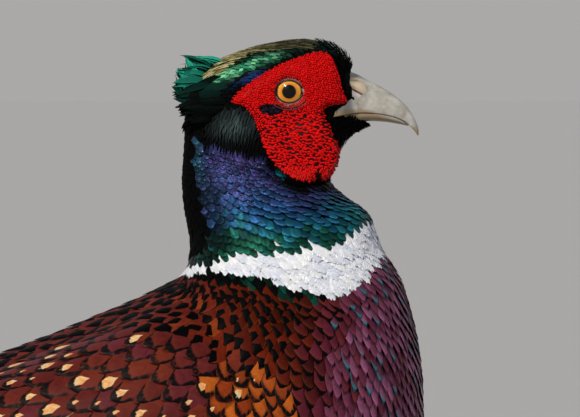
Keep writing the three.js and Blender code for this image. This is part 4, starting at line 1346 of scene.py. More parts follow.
COATS = (
    # tracts, cut, finish, slot
    ("coat_head", (Tract.HEAD,), Cuts.SLIM, HEAD_VELVET, "head_plumage"),
    ("coat_ear", (Tract.EAR, Tract.CROWN), Cuts.HAIR, HEAD_VELVET, "head_plumage"),
    ("coat_nape", (Tract.NAPE, Tract.UNDER_RING), Cuts.SCALE, HEAD_VELVET, "neck_plumage"),
    ("coat_neck", (Tract.NECK,), Cuts.SCALE, NECK_GLOSS, "neck_plumage"),
    ("coat_ring", (Tract.RING,), Cuts.FRINGED, RING_WHITE, "ring_plumage"),
    ("coat_mantle", (Tract.MANTLE,), Cuts.WEDGED, MANTLE_COPPER, "mantle_plumage"),
    ("coat_scapular", (Tract.SCAPULAR,), Cuts.BROAD, SCAPULAR_SPOT, "mantle_plumage"),
    ("coat_shoulder", (Tract.SHOULDER,), Cuts.BLUNT, SCAPULAR_SPOT, "mantle_plumage"),
    ("coat_chest", (Tract.CHEST_SIDE,), Cuts.BLUNT, CHEST_RUST, "breast_plumage"),
    ("coat_breast", (Tract.BREAST,), Cuts.BROAD, BREAST_GLOSS, "breast_plumage"),
    ("coat_flank", (Tract.FLANK,), Cuts.BROAD, FLANK_GOLD, "breast_plumage"),
    ("coat_belly", (Tract.BELLY,), Cuts.LOOSE, BELLY_DULL, "thigh_plumage"),
    ("coat_rump", (Tract.RUMP,), Cuts.LOOSE, RUMP_HAIR, "rump_plumage"),
)


@dataclass
class BodyCoat:
    """The small feathers of the head, neck and trunk, laid in their tracts."""

    lie: Lie
    seed: int = SEED

    def lot(self) -> Tuple[Array, Lot]:
        """Choose a place, size and colour for every feather.

        Returns:
            The tract of each feather, and the feathers.
        """
        draw = np.random.default_rng(self.seed)
        trunk = scatter(self.lie, -0.4, 12.1, coat_pace, self.seed)
        head = scatter(self.lie, 12.1, BILL_PLACE - 0.05, coat_pace, self.seed + 1)
        t, a = (np.concatenate(pair) for pair in zip(trunk, head))
        n = len(t)
        # a feather belongs to the tract that its tip lies on
        kind = tract_of(t, a, self.lie.at(t, a))
        for _ in range(2):
            length = np.array([PACES[k][2] for k in kind]) * finer(kind, t)
            tip = self.lie.step_on(t, a, (1 - REACH) * length, np.zeros(n))
            kind = tract_of(*tip, self.lie.at(*tip))
        keep = kind != Tract.BARE
        t, a, kind = t[keep], a[keep], kind[keep]
        n = len(t)
        p = self.lie.at(t, a)
        sizes = np.array([PACES[k] for k in kind])
        fine = finer(kind, t)
        # the feathers round the bill's root are too short to grow out of the horn
        root = self.lie.at(*self.lie.step_on(t, a, -REACH * sizes[:, 2], np.zeros(n)))
        fine[(t > 17) & inside(HORN_OUTLINE, root[:, 0], root[:, 2])] *= 0.65
        paint = Paint(kind, t, a, p, draw)
        # stiff short feathers stand up on the forehead
        brow = (kind == Tract.HEAD) & (p[:, 0] > 9) & (p[:, 2] > 346)
        loose = np.isin(kind, [Tract.RUMP, Tract.BELLY, Tract.RING, Tract.HEAD])
        loose = np.maximum(loose, 0.6 * (kind == Tract.MANTLE))
        yaw = draw.normal(0, 0.07, n) + loose * draw.normal(0, 0.1, n)
        length = sizes[:, 2] * draw.normal(1, 0.07, n) * fine
        width = sizes[:, 3] * draw.normal(1, 0.06, n) * fine
        crest = sizes[:, 5] + (loose * 0.4 + brow * 0.9) * draw.random(n)
        return kind, Lot(t, a, length, width, yaw, paint.base, paint.trim, paint.mark,
                         sizes[:, 4], crest)

    def build(self) -> None:
        """Make the coat, one piece for each group of tracts."""
        kind, lot = self.lot()
        dressed: Dict[str, Material] = {}
        for i, (name, tracts, cut, finish, slot) in enumerate(COATS):
            if finish.name not in dressed:
                dressed[finish.name] = finish.dress()
            chosen = np.isin(kind, list(tracts))
            shape = small_feathers(self.lie, lot.some(chosen), cut.value, self.seed + i)
            LOG.info("%s: %d feathers", name, chosen.sum())
            put(name, shape.mesh(name, 60), dressed[finish.name], slot)


# Skin


@dataclass(frozen=True)
class DownySkin:
    """Pale skin under down, whose fluff gives a matt speckled ground in the tract's colour."""

    name: str = "skin_under_down"
    fluff: float = 1.43
    roughness: float = 0.85

    def dress(self) -> Material:
        """Write the material.

        Returns:
            The material, read from the skin's own colours.
        """
        made, g = blank(self.name)
        place = g.add("ShaderNodeTexCoord").node.outputs["Object"]
        down = g.add(NOISE, place, inputs={"Scale": per(self.fluff), "Detail": 4.0})
        base = g.add("ShaderNodeAttribute", attribute_name="base")
        colour = g.add(MIX, 1.0, base, g.add(RANGE, down, 0.3, 0.7, 0.6, 1.2),
                       blend_type="MULTIPLY")
        bump = g.add(BUMP, inputs={"Strength": 0.6, "Distance": 0.0005, "Height": down})
        g.add(OUTPUT, g.add(PRINCIPLED, inputs={"Base Color": colour, "Roughness": self.roughness,
                                                "Specular IOR Level": 0.05, "Normal": bump}))
        return made


@dataclass
class Skin:
    """The bird's skin under its coat, in one surface without seams."""

    lie: Lie
    legs: Sequence["Leg"]
    finish: DownySkin = DownySkin()
    voxel: float = 1.9
    shade: float = 0.5
    depths: Tuple[Tuple[float, float], ...] = ((-2, 3), (8, 3.2), (9.5, 2.4), (12.4, 1.6),
                                               (13.2, 0.9), (20, 0.8))

    def trunk(self) -> Shape:
        """Make the trunk, neck and head, inside the coat.

        Returns:
            Their closed form.
        """
        rows = np.linspace(-0.9, BILL_PLACE, 260)[:, None]
        a = np.linspace(0, TURN, 96, endpoint=False)[None, :]
        t, a = np.broadcast_arrays(rows, a)
        points = self.lie.at(t, a, -through(self.depths, t))
        # the bill's horn shows beside the feathers' edge, so the skin goes inside it there
        gap = ring_gap(HORN_OUTLINE, points[..., 0], points[..., 2])
        points[..., 1] *= 1 - 0.4 * ease(-0.6, 1.2, gap) * (t > 17)
        return loft(points)

    def fused(self) -> bpy.types.Mesh:
        """Fuse the trunk and the thighs.

        Returns:
            One even mesh without seams.
        """
        whole = Shape.together([self.trunk(), *(leg.thigh_core() for leg in self.legs)])
        rough = bpy.data.objects.new("rough_skin", whole.mesh("rough_skin"))
        bpy.context.scene.collection.objects.link(rough)
        remesh = rough.modifiers.new("Fuse", "REMESH")
        remesh.mode, remesh.voxel_size = "VOXEL", self.voxel * MM
        smooth = rough.modifiers.new("Smooth", "SMOOTH")
        smooth.factor, smooth.iterations = 0.5, 3
        graph = bpy.context.evaluated_depsgraph_get()
        mesh = bpy.data.meshes.new_from_object(rough.evaluated_get(graph))
        bpy.data.objects.remove(rough)
        return mesh

    def tint(self, points: Array) -> Array:
        """Colour the skin darkly as the coat over it.

        Args:
            points: Places on the skin.

        Returns:
            Each one's colour and a full alpha.
        """
        t, a = np.arange(-0.9, 20, 0.15), np.arange(0, TURN, 0.12)
        t, a = (grid.ravel() for grid in np.meshgrid(t, a))
        spots = self.lie.at(t, a)
        paint = Paint(tract_of(t, a, spots), t, a, spots, np.random.default_rng(SEED))
        tree = KDTree(len(spots))
        for i, spot in enumerate(spots):
            tree.insert(spot, i)
        tree.balance()
        near = np.array([tree.find(p)[1] for p in points])
        return np.hstack([(paint.base * self.shade)[near], np.ones((len(near), 1))])

    def build(self) -> bpy.types.Object:
        """Make the skin.

        Returns:
            The piece.
        """
        mesh = self.fused()
        points = np.zeros(len(mesh.vertices) * 3, np.float32)
        mesh.vertices.foreach_get("co", points)
        rows = self.tint(points.reshape(-1, 3) / MM - SHIFT).astype(np.float32)
        mesh.color_attributes.new("base", "FLOAT_COLOR", "POINT").data.foreach_set(
            "color", rows.ravel())
        mesh.shade_smooth()
        return put("skin", mesh, self.finish.dress(), "breast_plumage", "rump", "torso",
                   "breast", "collar", "neck", "head", "thigh_left", "thigh_right")


# Bill


@dataclass(frozen=True)
class BillHorn:
    """Bill horn, grown in layers.

    To the eye it is cloudy ivory with a yellower cutting edge, a creamy soft cover over each
    nostril, and a satin gloss with fine scratches along it.
    """

    name: str
    nostril: Tuple[float, float]
    droop: float
    scratch: float = 0.417
    cloud: float = 3.85

    def cover(self, g: Graph, on: Socket, off: Socket, colour: Socket) -> Socket:
        """Draw the cover over the nostril, whose red lining shows as a line under it, with a
        painted highlight in a pale band below that line.

        Args:
            g: The material's graph.
            on: How far along the slanting cover, in millimetres.
            off: How far over its middle.
            colour: The horn's colour.

        Returns:
            The marked colour.
        """
        far = g.add(PLUS, g.add(RAISED, g.add(OVER, on, 3.6), 2.0),
                    g.add(RAISED, g.add(TIMES_PLUS, off, 0.5, -0.1), 2.0))
        colour = g.add(MIX, g.add(RANGE, far, 1.05, 0.75, 0.0, 0.85, **SMOOTH), colour,
                       linear("#D0BDA2"))
        under = g.add(PLUS, g.add(TIMES_PLUS, on, -0.24, off), 1.85)
        # painted highlight: a pale band along the lip under the nostril's red line
        pale = g.add(RANGE, g.add(SIZE_OF, g.add(PLUS, under, 0.9)), 0.8, 0.5, 0.0, 0.7, **SMOOTH)
        near = g.add(RANGE, g.add(SIZE_OF, g.add(PLUS, on, -0.4)), 3.0, 2.3, **SMOOTH)
        colour = g.add(MIX, g.add(TIMES, pale, near), colour, linear("#C8C4C6"))
        line = g.add(RANGE, g.add(SIZE_OF, under), 0.42, 0.2, 0.0, 0.95, **SMOOTH)
        return g.add(MIX, g.add(TIMES, line, near), colour, linear("#5A2016"))

    def dress(self) -> Material:
        """Write the material.

        Returns:
            The material.
        """
        made, g = blank(self.name)
        place = g.add("ShaderNodeTexCoord").node.outputs["Object"]
        x = g.add(SPLIT, place)
        cloud = g.add(NOISE, place, inputs={"Scale": per(self.cloud), "Detail": 5.0,
                                       "Distortion": 0.6})
        colour = g.add(RAMP, cloud, stops=((0.32, "#9A968E"), (0.5, "#B0AEA6"), (0.68, "#C4C3BD")))
        # the scratches are drawn coarser than they are, so that they show
        grain = g.add("ShaderNodeMapping", place, inputs={"Scale": (0.25, 1.0, 1.6),
                                                          "Rotation": (0.0, 0.45, 0.0)})
        streak = g.add(NOISE, grain, inputs={"Scale": per(self.scratch), "Detail": 3.0})
        # the cutting edge falls from its root towards the tip
        drop = g.add(MINUS, x.node.outputs[2], g.add(
            RANGE, x, (SHIFT[0] + 26) * MM, (SHIFT[0] + 43) * MM, 338.2 * MM, 331.6 * MM))
        edge = g.add(RANGE, drop, 0.0016, -0.0004, 0.0, 0.75, **SMOOTH)
        colour = g.add(MIX, edge, colour, linear("#8C7244"))
        heart = g.add(ROW_MINUS, place,
                      ((SHIFT[0] + self.nostril[0]) * MM, 0.0, self.nostril[1] * MM))
        c, d = math.cos(self.droop) / MM, math.sin(self.droop) / MM
        on, off = (g.add(ROW_DOT, heart, way).node.outputs[1]
                   for way in ((c, 0.0, -d), (d, 0.0, c)))
        colour = self.cover(g, on, off, colour)
        pit = g.add(RANGE, g.add("ShaderNodeNewGeometry").node.outputs["Pointiness"], 0.47, 0.42,
                    0.0, 0.9, **SMOOTH)
        colour = g.add(MIX, pit, colour, linear("#5A2416"))
        colour = g.add(MIX, 0.5, colour, g.add(RANGE, streak, 0.3, 0.7, 0.8, 1.1),
                       blend_type="MULTIPLY")
        bump = g.add(BUMP, inputs={"Strength": 0.12, "Distance": 0.0002, "Height": streak})
        g.add(OUTPUT, g.add(PRINCIPLED, inputs={
            "Base Color": colour, "Roughness": g.add(RANGE, streak, 0.3, 0.7, 0.28, 0.46),
            "IOR": 1.54, "Subsurface Weight": 0.12, "Subsurface Scale": 0.002, "Normal": bump}))
        return made


@dataclass
class Bill:
    """Both halves of the bill, with the soft cover over each nostril."""

    upper: Tuple[Tuple[float, ...], ...] = (
        # ridge x and z, cutting edge x and z, half width
        (10.5, 352.5, 10, 335.4, 11.6), (14, 352.5, 13.6, 336.4, 9.9),
        (18, 352, 18.6, 337.4, 8.2), (22.5, 350.6, 23.4, 338, 6.6),
        (27, 348.2, 28.2, 337.8, 5.5), (31.6, 345.8, 32.4, 337.2, 4.7),
        (35.8, 343, 36, 336.2, 3.9), (39.2, 339.8, 38.8, 334.8, 3), (41.6, 336.2, 40.6, 333, 2.1),
        (43, 332.6, 42, 331.4, 1.2), (43.2, 330.3, 42.8, 330.1, 0.4))
    lower: Tuple[Tuple[float, ...], ...] = (
        (14, 335.8, 14.6, 332, 7.6), (18.6, 336.8, 19, 333.4, 7), (23.4, 337.4, 23.8, 334.7, 6),
        (28.2, 337.2, 28.6, 334.9, 5.1), (32.4, 336.6, 32.6, 334.6, 4.3),
        (36, 335.6, 35.8, 334.1, 3.4), (38.6, 334.3, 38.4, 333.6, 2.2),
        (39.8, 333.7, 39.7, 333.3, 0.7))
    nostril: Tuple[float, float] = (22.7, 346.8)
    droop: float = 0.74
    closed: float = 0.9

    def half(self, rows: Sequence[Sequence[float]], arch: int) -> Shape:
        """Make one half of the bill as an arch over a nearly flat floor.

        Args:
            rows: Its stations.
            arch: 1 for an arch upwards, -1 for one downwards.

        Returns:
            The closed half.
        """
        s = catmull(np.array(rows, float), np.linspace(0, len(rows) - 1, 110))[:, None]
        a = np.linspace(0, TURN, 72, endpoint=False)[None, :]
        base, peak = (s[..., 2:4], s[..., 0:2]) if arch > 0 else (s[..., 0:2], s[..., 2:4])
        rise = np.cos(a)
        share = np.where(rise > 0, np.abs(rise) ** 0.85, rise * 0.04)
        flat = base + (peak - base) * share[..., None]
        wide = np.sign(np.sin(a)) * np.abs(np.sin(a)) ** 0.9 * s[..., 4]
        x, z = flat[..., 0], flat[..., 1]
        side = np.sign(np.sin(a)) * ease(0.2, 0.6, np.abs(np.sin(a)))
        # the root spreads into the face, and most at the low back corner of the upper half
        wide = wide + side * 1.5 * ease(21.5, 17.5, x)
        if arch > 0:
            wide = wide + side * 1.3 * ease(340.5, 338.2, z) * ease(19, 16, x) * ease(12.8, 14.2, x)
            c, d = math.cos(self.droop), math.sin(self.droop)
            dx, dz = x - self.nostril[0], z - self.nostril[1]
            on, off = dx * c - dz * d, dx * d + dz * c
            cover = np.exp(-((on / 3.5) ** 2 + ((off - 0.2) / 1.9) ** 2) ** 2)
            slit = np.exp(-((on - 0.7) / 2.8) ** 4 - ((off + 1.75 - 0.24 * on) / 0.4) ** 2)
            wide = wide + side * (1.2 * cover - 1.5 * slit)
        else:
            z = z + self.closed * np.maximum(0, -rise)
        return loft(np.stack([x, wide, z], -1))

    def build(self) -> None:
        """Make both halves."""
        horn = BillHorn("ivory_bill_horn", self.nostril, self.droop).dress()
        put("bill_upper_horn", self.half(self.upper, 1).mesh("upper"), horn, "bill_horn",
            "bill_upper")
        put("bill_lower_horn", self.half(self.lower, -1).mesh("lower"), horn, "bill_horn",
            "bill_lower")


# Scattered small forms


@dataclass(frozen=True)
class Grains:
    """Small rounded grains set on points, in Geometry Nodes."""

    name: str
    segments: int = 7
    rings: int = 5
    spread: float = 0.15
    seed: int = SEED

    def tree(self, material: Material) -> bpy.types.NodeTree:
        """Write the tree.

        Args:
            material: The grains' finish.

        Returns:
            A tree that sets a grain on each point, by the point's turn and size.
        """
        tree = bpy.data.node_groups.new(self.name, "GeometryNodeTree")
        face = tree.interface
        face.new_socket("Geometry", in_out="INPUT", socket_type="NodeSocketGeometry")
        for label, kind in (("Segments", "NodeSocketInt"), ("Rings", "NodeSocketInt"),
                            ("Spread", "NodeSocketFloat"), ("Seed", "NodeSocketInt")):
            face.new_socket(label, in_out="INPUT", socket_type=kind)
        face.new_socket("Geometry", in_out="OUTPUT", socket_type="NodeSocketGeometry")
        g = Graph(tree)
        start = g.add("NodeGroupInput").node.outputs
        grain = g.add("GeometryNodeMeshUVSphere", start["Segments"], start["Rings"], 1.0)
        turn = g.add("GeometryNodeInputNamedAttribute", "turn", data_type="FLOAT_VECTOR")
        size = g.add("GeometryNodeInputNamedAttribute", "size", data_type="FLOAT_VECTOR")
        less = g.add(MINUS, 1.0, start["Spread"])
        more = g.add(PLUS, 1.0, start["Spread"])
        vary = g.add("FunctionNodeRandomValue", data_type="FLOAT",
                     inputs={2: less, 3: more, 8: start["Seed"]}).node.outputs[1]
        scale = g.add("ShaderNodeVectorMath SCALE", size, inputs={"Scale": vary})
        placed = g.add("GeometryNodeInstanceOnPoints", inputs={
            "Points": start["Geometry"], "Instance": grain, "Rotation": turn, "Scale": scale})
        real = g.add("GeometryNodeRealizeInstances", placed)
        even = g.add("GeometryNodeSetShadeSmooth", real)
        done = g.add("GeometryNodeSetMaterial", even, inputs={"Material": material})
        g.add("NodeGroupOutput", done)
        return tree

    def grow(self, shape: Shape, material: Material) -> bpy.types.Mesh:
        """Set the grains.

        Args:
            shape: Points with a turn, a size and a colour each.
            material: The grains' finish.

        Returns:
            The grains as a plain mesh.
        """
        mesh = bpy.data.meshes.new(self.name)
        mesh.vertices.add(len(shape.points))
        mesh.vertices.foreach_set("co", ((shape.points + SHIFT) * MM).astype(np.float32).ravel())
        for key, rows in shape.vectors.items():
            mesh.attributes.new(key, "FLOAT_VECTOR", "POINT").data.foreach_set(
                "vector", rows.astype(np.float32).ravel())
        carrier = bpy.data.objects.new(self.name, mesh)
        bpy.context.scene.collection.objects.link(carrier)
        tree = self.tree(material)
        modifier = carrier.modifiers.new("Grains", "NODES")
        modifier.node_group = tree
        sockets = {s.name: s.identifier for s in tree.interface.items_tree
                   if s.item_type == "SOCKET" and s.in_out == "INPUT"}
        for label, value in (("Segments", self.segments), ("Rings", self.rings),
                             ("Spread", self.spread), ("Seed", self.seed)):
            modifier[sockets[label]] = value
        graph = bpy.context.evaluated_depsgraph_get()
        made = bpy.data.meshes.new_from_object(carrier.evaluated_get(graph))
        carrier.modifiers.clear()
        bpy.data.objects.remove(carrier)
        return made


def bake_patches(mesh: bpy.types.Mesh, homes: Array) -> None:
    """Give every grain of a mesh a small patch at its place on the skin's unwrap.

    Args:
        mesh: Grains in order, each with as many points.
        homes: The place of each grain, 0 to 1 both ways.
    """
    per = len(mesh.vertices) // len(homes)
    angle = np.arange(per) * 2.399963
    ring = np.stack([np.cos(angle), np.sin(angle)], -1) * np.sqrt(np.arange(per) / per)[:, None]
    uv = (homes[:, None] + ring[None] * PATCH / 2).reshape(-1, 2)
    loops = np.zeros(len(mesh.loops), np.int32)
    mesh.loops.foreach_get("vertex_index", loops)
    for layer in list(mesh.uv_layers):
        mesh.uv_layers.remove(layer)
    mesh.uv_layers.new(name="OFBake").data.foreach_set("uv", uv[loops].astype(np.float32).ravel())


# Eyes and the bare red face


@dataclass(frozen=True)
class ScarletSkin:
    """Bare skin full of blood.

    To the eye it is bright scarlet, softly lit through, with a moist low gloss. As the ground
    between the beads it is dark on the cheek, where little light reaches it, and black under
    the cheek's spot of feathers, whose place and half width and height it is given.
    """

    name: str
    spot: Optional[Tuple[float, ...]] = None
    grain: float = 1.11

    def gaps(self, g: Graph, place: Socket, z: Socket, colour: Socket) -> Socket:
        """Darken the ground between the beads.

        Args:
            g: The material's graph.
            place: The Object coordinates.
            z: The height.
            colour: The skin's colour.

        Returns:
            The darkened colour.
        """
        cheek = g.add(RANGE, z, 0.342, 0.337, 0.25, 0.97, **SMOOTH)
        colour = g.add(MIX, cheek, colour, linear("#100304"))
        sx, sz, rx, rz = self.spot
        near = g.add(ROW_MINUS, place, ((SHIFT[0] + sx) * MM, 0.0, sz * MM))
        near = g.add(ROW_TIMES, near, (1 / rx / MM, 0.0, 1 / rz / MM))
        far = g.add(ROW_LENGTH, near).node.outputs[1]
        return g.add(MIX, g.add(RANGE, far, 1.15, 1.0), colour, linear("#060506"))

    def dress(self) -> Material:
        """Write the material.

        Returns:
            The material.
        """
        made, g = blank(self.name)
        place = g.add("ShaderNodeTexCoord").node.outputs["Object"]
        z = g.add(SPLIT, place).node.outputs[2]
        grain = g.add(NOISE, place, inputs={"Scale": per(self.grain), "Detail": 3.0})
        colour = g.add(RAMP, grain, stops=((0.3, "#A80004"), (0.5, "#CC0204"), (0.72, "#E00A06")))
        hem = g.add(RANGE, z, 0.323, 0.3155, 0.0, 0.55, **SMOOTH)
        colour = g.add(MIX, hem, colour, linear("#E0201E"))
        if self.spot:
            colour = self.gaps(g, place, z, colour)
        bump = g.add(BUMP, inputs={"Strength": 0.3, "Distance": 0.0002, "Height": grain})
        g.add(OUTPUT, g.add(PRINCIPLED, inputs={
            "Base Color": colour, "Roughness": g.add(RANGE, grain, 0.3, 0.7, 0.42, 0.6),
            "Specular IOR Level": 0.12, "Subsurface Weight": 0.0 if self.spot else 0.08,
            "Subsurface Scale": 0.0008, "Subsurface Radius": (1.0, 0.2, 0.1), "Normal": bump}))
        return made


@dataclass(frozen=True)
class WetEye:
    """A wet clear cornea, which mirrors the light in one sharp point.

    Under it lies an amber iris, rayed and darker at its rim, round a black pupil.
    """

    name: str = "wet_amber_eye"
    pupil: float = 2.22
    iris: float = 4.1

    def dress(self) -> Material:
        """Write the material.

        Returns:
            The material.
        """
        made, g = blank(self.name)
        place = g.add("ShaderNodeTexCoord").node.outputs["Object"]
        near = g.add(ROW_MINUS, place, (SHIFT[0] * MM, 0.0, EYE_HEIGHT * MM))
        flat = g.add(ROW_TIMES, near, (1.0, 0.0, 1.0))
        r = g.add(ROW_LENGTH, flat).node.outputs[1]
        x = g.add(SPLIT, flat)
        a = g.add(ARCTAN, x.node.outputs[2], x)
        ray = g.add(NOISE, g.add(JOINED, g.add(TIMES, a, 9.0), g.add(TIMES, r, 500.0), 0.0),
                    inputs={"Scale": 1.5, "Detail": 3.0})
        across = g.add(RANGE, r, 0.0022, self.iris * MM)
        iris = g.add(RAMP, across, stops=((0.0, "#C87818"), (0.4, "#E0962C"), (0.75, "#F0B450"),
                                          (0.9, "#A86A24"), (1.0, "#140A06")))
        iris = g.add(MIX, 0.6, iris, g.add(RANGE, ray, 0.3, 0.7, 0.6, 1.25), blend_type="MULTIPLY")
        pupil = g.add(RANGE, r, 0.0024, self.pupil * MM, **SMOOTH)
        colour = g.add(MIX, pupil, iris, linear("#020202"))
        white = g.add(RANGE, r, 0.00415, 0.0045, **SMOOTH)
        colour = g.add(MIX, white, colour, linear("#16100E"))
        g.add(OUTPUT, g.add(PRINCIPLED, inputs={
            "Base Color": colour, "Roughness": 0.35, "Specular IOR Level": 0.1,
            "Coat Weight": 0.6, "Coat Roughness": 0.02, "Coat IOR": 1.38}))
        return made


@dataclass(frozen=True)
class LidSkin:
    """Thin moist skin with a soft gloss, grained between two colours."""

    name: str
    low: str
    high: str
    grain: float = 0.714

    def dress(self) -> Material:
        """Write the material.

        Returns:
            The material.
        """
        made, g = blank(self.name)
        place = g.add("ShaderNodeTexCoord").node.outputs["Object"]
        grain = g.add(NOISE, place, inputs={"Scale": per(self.grain), "Detail": 2.0})
        colour = g.add(RAMP, grain, stops=((0.35, self.low), (0.65, self.high)))
        bump = g.add(BUMP, inputs={"Strength": 0.4, "Distance": 0.0001, "Height": grain})
        g.add(OUTPUT, g.add(PRINCIPLED, inputs={"Base Color": colour, "Roughness": 0.45,
                                                "Normal": bump}))
        return made


@dataclass
class Face:
    """The red skin with its swollen beads, the lids and the eyes of both sides.

    The lobe is the swelling that hangs under the eye: its middle and its half sizes, each as
    x, y and z. The spot is the patch of feathers under the eye: its middle and half sizes.
    """

    lie: Lie
    thickness: float = 1.5
    eye_place: Tuple[float, float] = (0.0, EYE_HEIGHT)
    eye_hole: float = 4.75
    lid_out: float = 16.1
    lobe: Tuple[float, ...] = (6.0, 13.6, 327.0, 11.5, 5.2, 12.5)
    spot: Tuple[float, ...] = (-5.9, 339.2, 3.9, 1.75)
    spot_count: int = 46
    bead_tilt: float = -0.14
    bead_row: float = 1.36
    bead_join: float = 1.78

    def __post_init__(self) -> None:
        """Keep the head's surface for finding how far out a place on it is."""
        rows = np.linspace(11.5, BILL_PLACE, 120)[:, None]
        a = np.linspace(0, TURN, 120, endpoint=False)[None, :]
        t, a = np.broadcast_arrays(rows, a)
        form = loft(self.lie.at(t, a))
        faces = [tuple(map(int, f)) for block in form.faces for f in block]
        self.tree = BVHTree.FromPolygons([Vector(p) for p in form.points], faces)

    def out(self, x: Array, z: Array) -> Array:
        """Find the head's surface.

        Args:
            x: Places on it, seen from the side.
            z: Their heights.

        Returns:
            How far each is from the middle.
        """
        flat = [self.tree.ray_cast(Vector((px, 60.0, pz)), Vector((0, -1, 0)))[0]
                for px, pz in zip(np.ravel(x), np.ravel(z))]
        return np.array([hit.y if hit else 0.0 for hit in flat]).reshape(np.shape(x))

    def skin_out(self, x: Array, z: Array) -> Array:
        """Find the red skin, with its hanging lobe and its place for the eye.

        Args:
            x: Places on it, seen from the side.
            z: Their heights.

        Returns:
            How far each is from the middle.
        """
        gap = ring_gap(self.ring, x, z)
        base = self.out(x, z) + self.thickness * ease(-0.3, 2.2, gap)
        cx, cy, cz, rx, ry, rz = self.lobe
        swell = 1 - ((x - cx) / rx) ** 2 - ((z - cz) / rz) ** 2
        high = np.where(swell > 0, cy + ry * np.sqrt(np.maximum(swell, 0)), 0)
        high = high * ease(-0.2, 1.4, gap)
        soft = np.maximum(base, high) + 0.25 * np.exp(-np.abs(base - high))
        off = np.hypot(x - self.eye_place[0], z - self.eye_place[1])
        return soft - 4.0 * ease(self.eye_hole + 0.6, self.eye_hole - 0.6, off)

    @property
    def ring(self) -> Array:
        """Return the outline of the red skin."""
        return face_ring(96)

    def hide(self, side: int) -> Shape:
        """Make the red skin of one side.

        Args:
            side: 1 for the left, -1 for the right.

        Returns:
            A closed sheet.
        """
        ring = face_ring(144)
        heart = np.array([2.0, 337.0])
        share = np.linspace(0, 1, 34)[:, None, None]
        grid = heart + (ring - heart)[None] * share
        x, z = grid[..., 0], grid[..., 1]
        y = self.skin_out(x, z)
        y[0] = y[0].mean()
        top = np.stack([x, side * y, z], -1)
        low = np.stack([x, side * (y - 3.2 * (1 - share[..., 0] ** 4) - 0.4), z], -1)
        n, k = x.shape
        at = np.arange(n * k).reshape(n, k)
        near = np.roll(at, -1, 1)
        quads = np.stack([at[1:-1], near[1:-1], near[2:], at[2:]], -1).reshape(-1, 4)
        fan = np.stack([at[1], near[1], at[0]], -1)[:, ::-1]
        shift = n * k
        rim = np.stack([at[-1], near[-1], near[-1] + shift, at[-1] + shift], -1)
        faces = [np.vstack([quads, quads[:, ::-1] + shift, rim]),
                 np.vstack([fan, fan[:, ::-1] + shift])]
        if side > 0:
            faces = [f[:, ::-1] for f in faces]
        points = np.vstack([top.reshape(-1, 3), low.reshape(-1, 3)])
        used = np.unique(np.concatenate([f.ravel() for f in faces]))
        new = np.zeros(len(points), int)
        new[used] = np.arange(len(used))
        return Shape(points[used], [new[f] for f in faces])

    def bead_spots(self, draw: np.random.Generator) -> Array:
        """Choose where beads could stand.

        Args:
            draw: For their disorder.

        Returns:
            Places along and over the rows, and whether each is one of the cheek's rows.
        """
        # close-set beads for the brow and the hem
        on, up = (m.ravel() for m in np.meshgrid(np.arange(-24, 24, 0.8), np.arange(-34, 16, 0.7)))
        on = on + 0.4 * (np.round(up / 0.7) % 2) + draw.normal(0, 0.14, on.shape)
        close = np.stack([on, up + draw.normal(0, 0.1, up.shape), 0 * up], -1)
        # rows of beads joined across, which leave the cheek's dark gaps open
        on, up = (m.ravel() for m in np.meshgrid(np.arange(-24, 24, 0.66), np.arange(-25, 12)))
        rows = np.stack([on + draw.normal(0, 0.08, on.shape), up * self.bead_row, 1 + 0 * up], -1)
        on, up = (m.ravel() for m in np.meshgrid(np.arange(-13, 14), np.arange(-25, 12)))
        joins = np.stack([(on + 0.5 * (up % 2)) * self.bead_join, (up + 0.5) * self.bead_row,
                          1 + 0 * up], -1)
        joins[:, 0] += draw.normal(0, 0.3, len(joins))
        netted = np.vstack([rows, joins[draw.random(len(joins)) < 0.92]])
        netted[:, :2] += draw.normal(0, 0.1, (len(netted), 2))
        # the rows run unevenly, and here and there two of them touch
        x, z = netted[:, 0].copy(), netted[:, 1].copy()
        netted[:, 1] += 0.3 * np.sin(x * 0.9 + 0.5 * z) + 0.24 * np.sin(1.9 * x - 1.3 * z)
        netted[:, 0] += 0.35 * np.sin(1.1 * z + 0.4 * x)
        return np.vstack([close, netted])

    def skin_way(self, x: Array, z: Array, side: int) -> Array:
        """Find the way out from the red skin.

        Args:
            x: Places on it, seen from the side.
            z: Their heights.
            side: 1 for the left, -1 for the right.

        Returns:
            The way out at each place, at length one.
        """
        e = 0.3
        nx = -(self.skin_out(x + e, z) - self.skin_out(x - e, z)) / (2 * e)
        nz = -(self.skin_out(x, z + e) - self.skin_out(x, z - e)) / (2 * e)
        return unit(np.stack([nx, np.full_like(nx, 1.0), nz], -1)) * [1, side, 1]

    def beads(self, side: int) -> Tuple[Shape, Array]:
        """Place the beads of one side.

        Args:
            side: 1 for the left, -1 for the right.

        Returns:
            Points with their turns and sizes, and their homes on the skin's unwrap.
        """
        draw = np.random.default_rng(SEED + side)
        c, d = math.cos(self.bead_tilt), math.sin(self.bead_tilt)
        spots = self.bead_spots(draw)
        x = spots[:, 0] * c + spots[:, 1] * -d
        z = EYE_HEIGHT + spots[:, 0] * d + spots[:, 1] * c
        cheek = ease(339.5, 337.5, z) * ease(-9.5, -7.5, x) * ease(319.5, 321.5, z)
        cheek = cheek * ease(16, 13.5, x)
        net = spots[:, 2] > 0
        off = np.hypot(x - self.eye_place[0], (z - self.eye_place[1]) * 1.06)
        sx, sz, rx, rz = self.spot
        clear = np.hypot((x - sx) / rx, (z - sz + (x - sx) * 0.12) / rz) > 1
        # a narrow gap parts the hem in two
        notch = (np.abs(x - 9.5) < 1.0 - 0.2 * (z - 316)) & (z < 319.4)
        gap = ring_gap(self.ring, x, z)
        keep = (gap > 0.1) & (off > self.eye_hole + 0.3) & clear & ~notch
        keep &= np.where(net, cheek > draw.random(len(x)), cheek <= draw.random(len(x)))
        x, z, gap, off, net = (v[keep] for v in (x, z, gap, off, net))
        normal = self.skin_way(x, z, side)
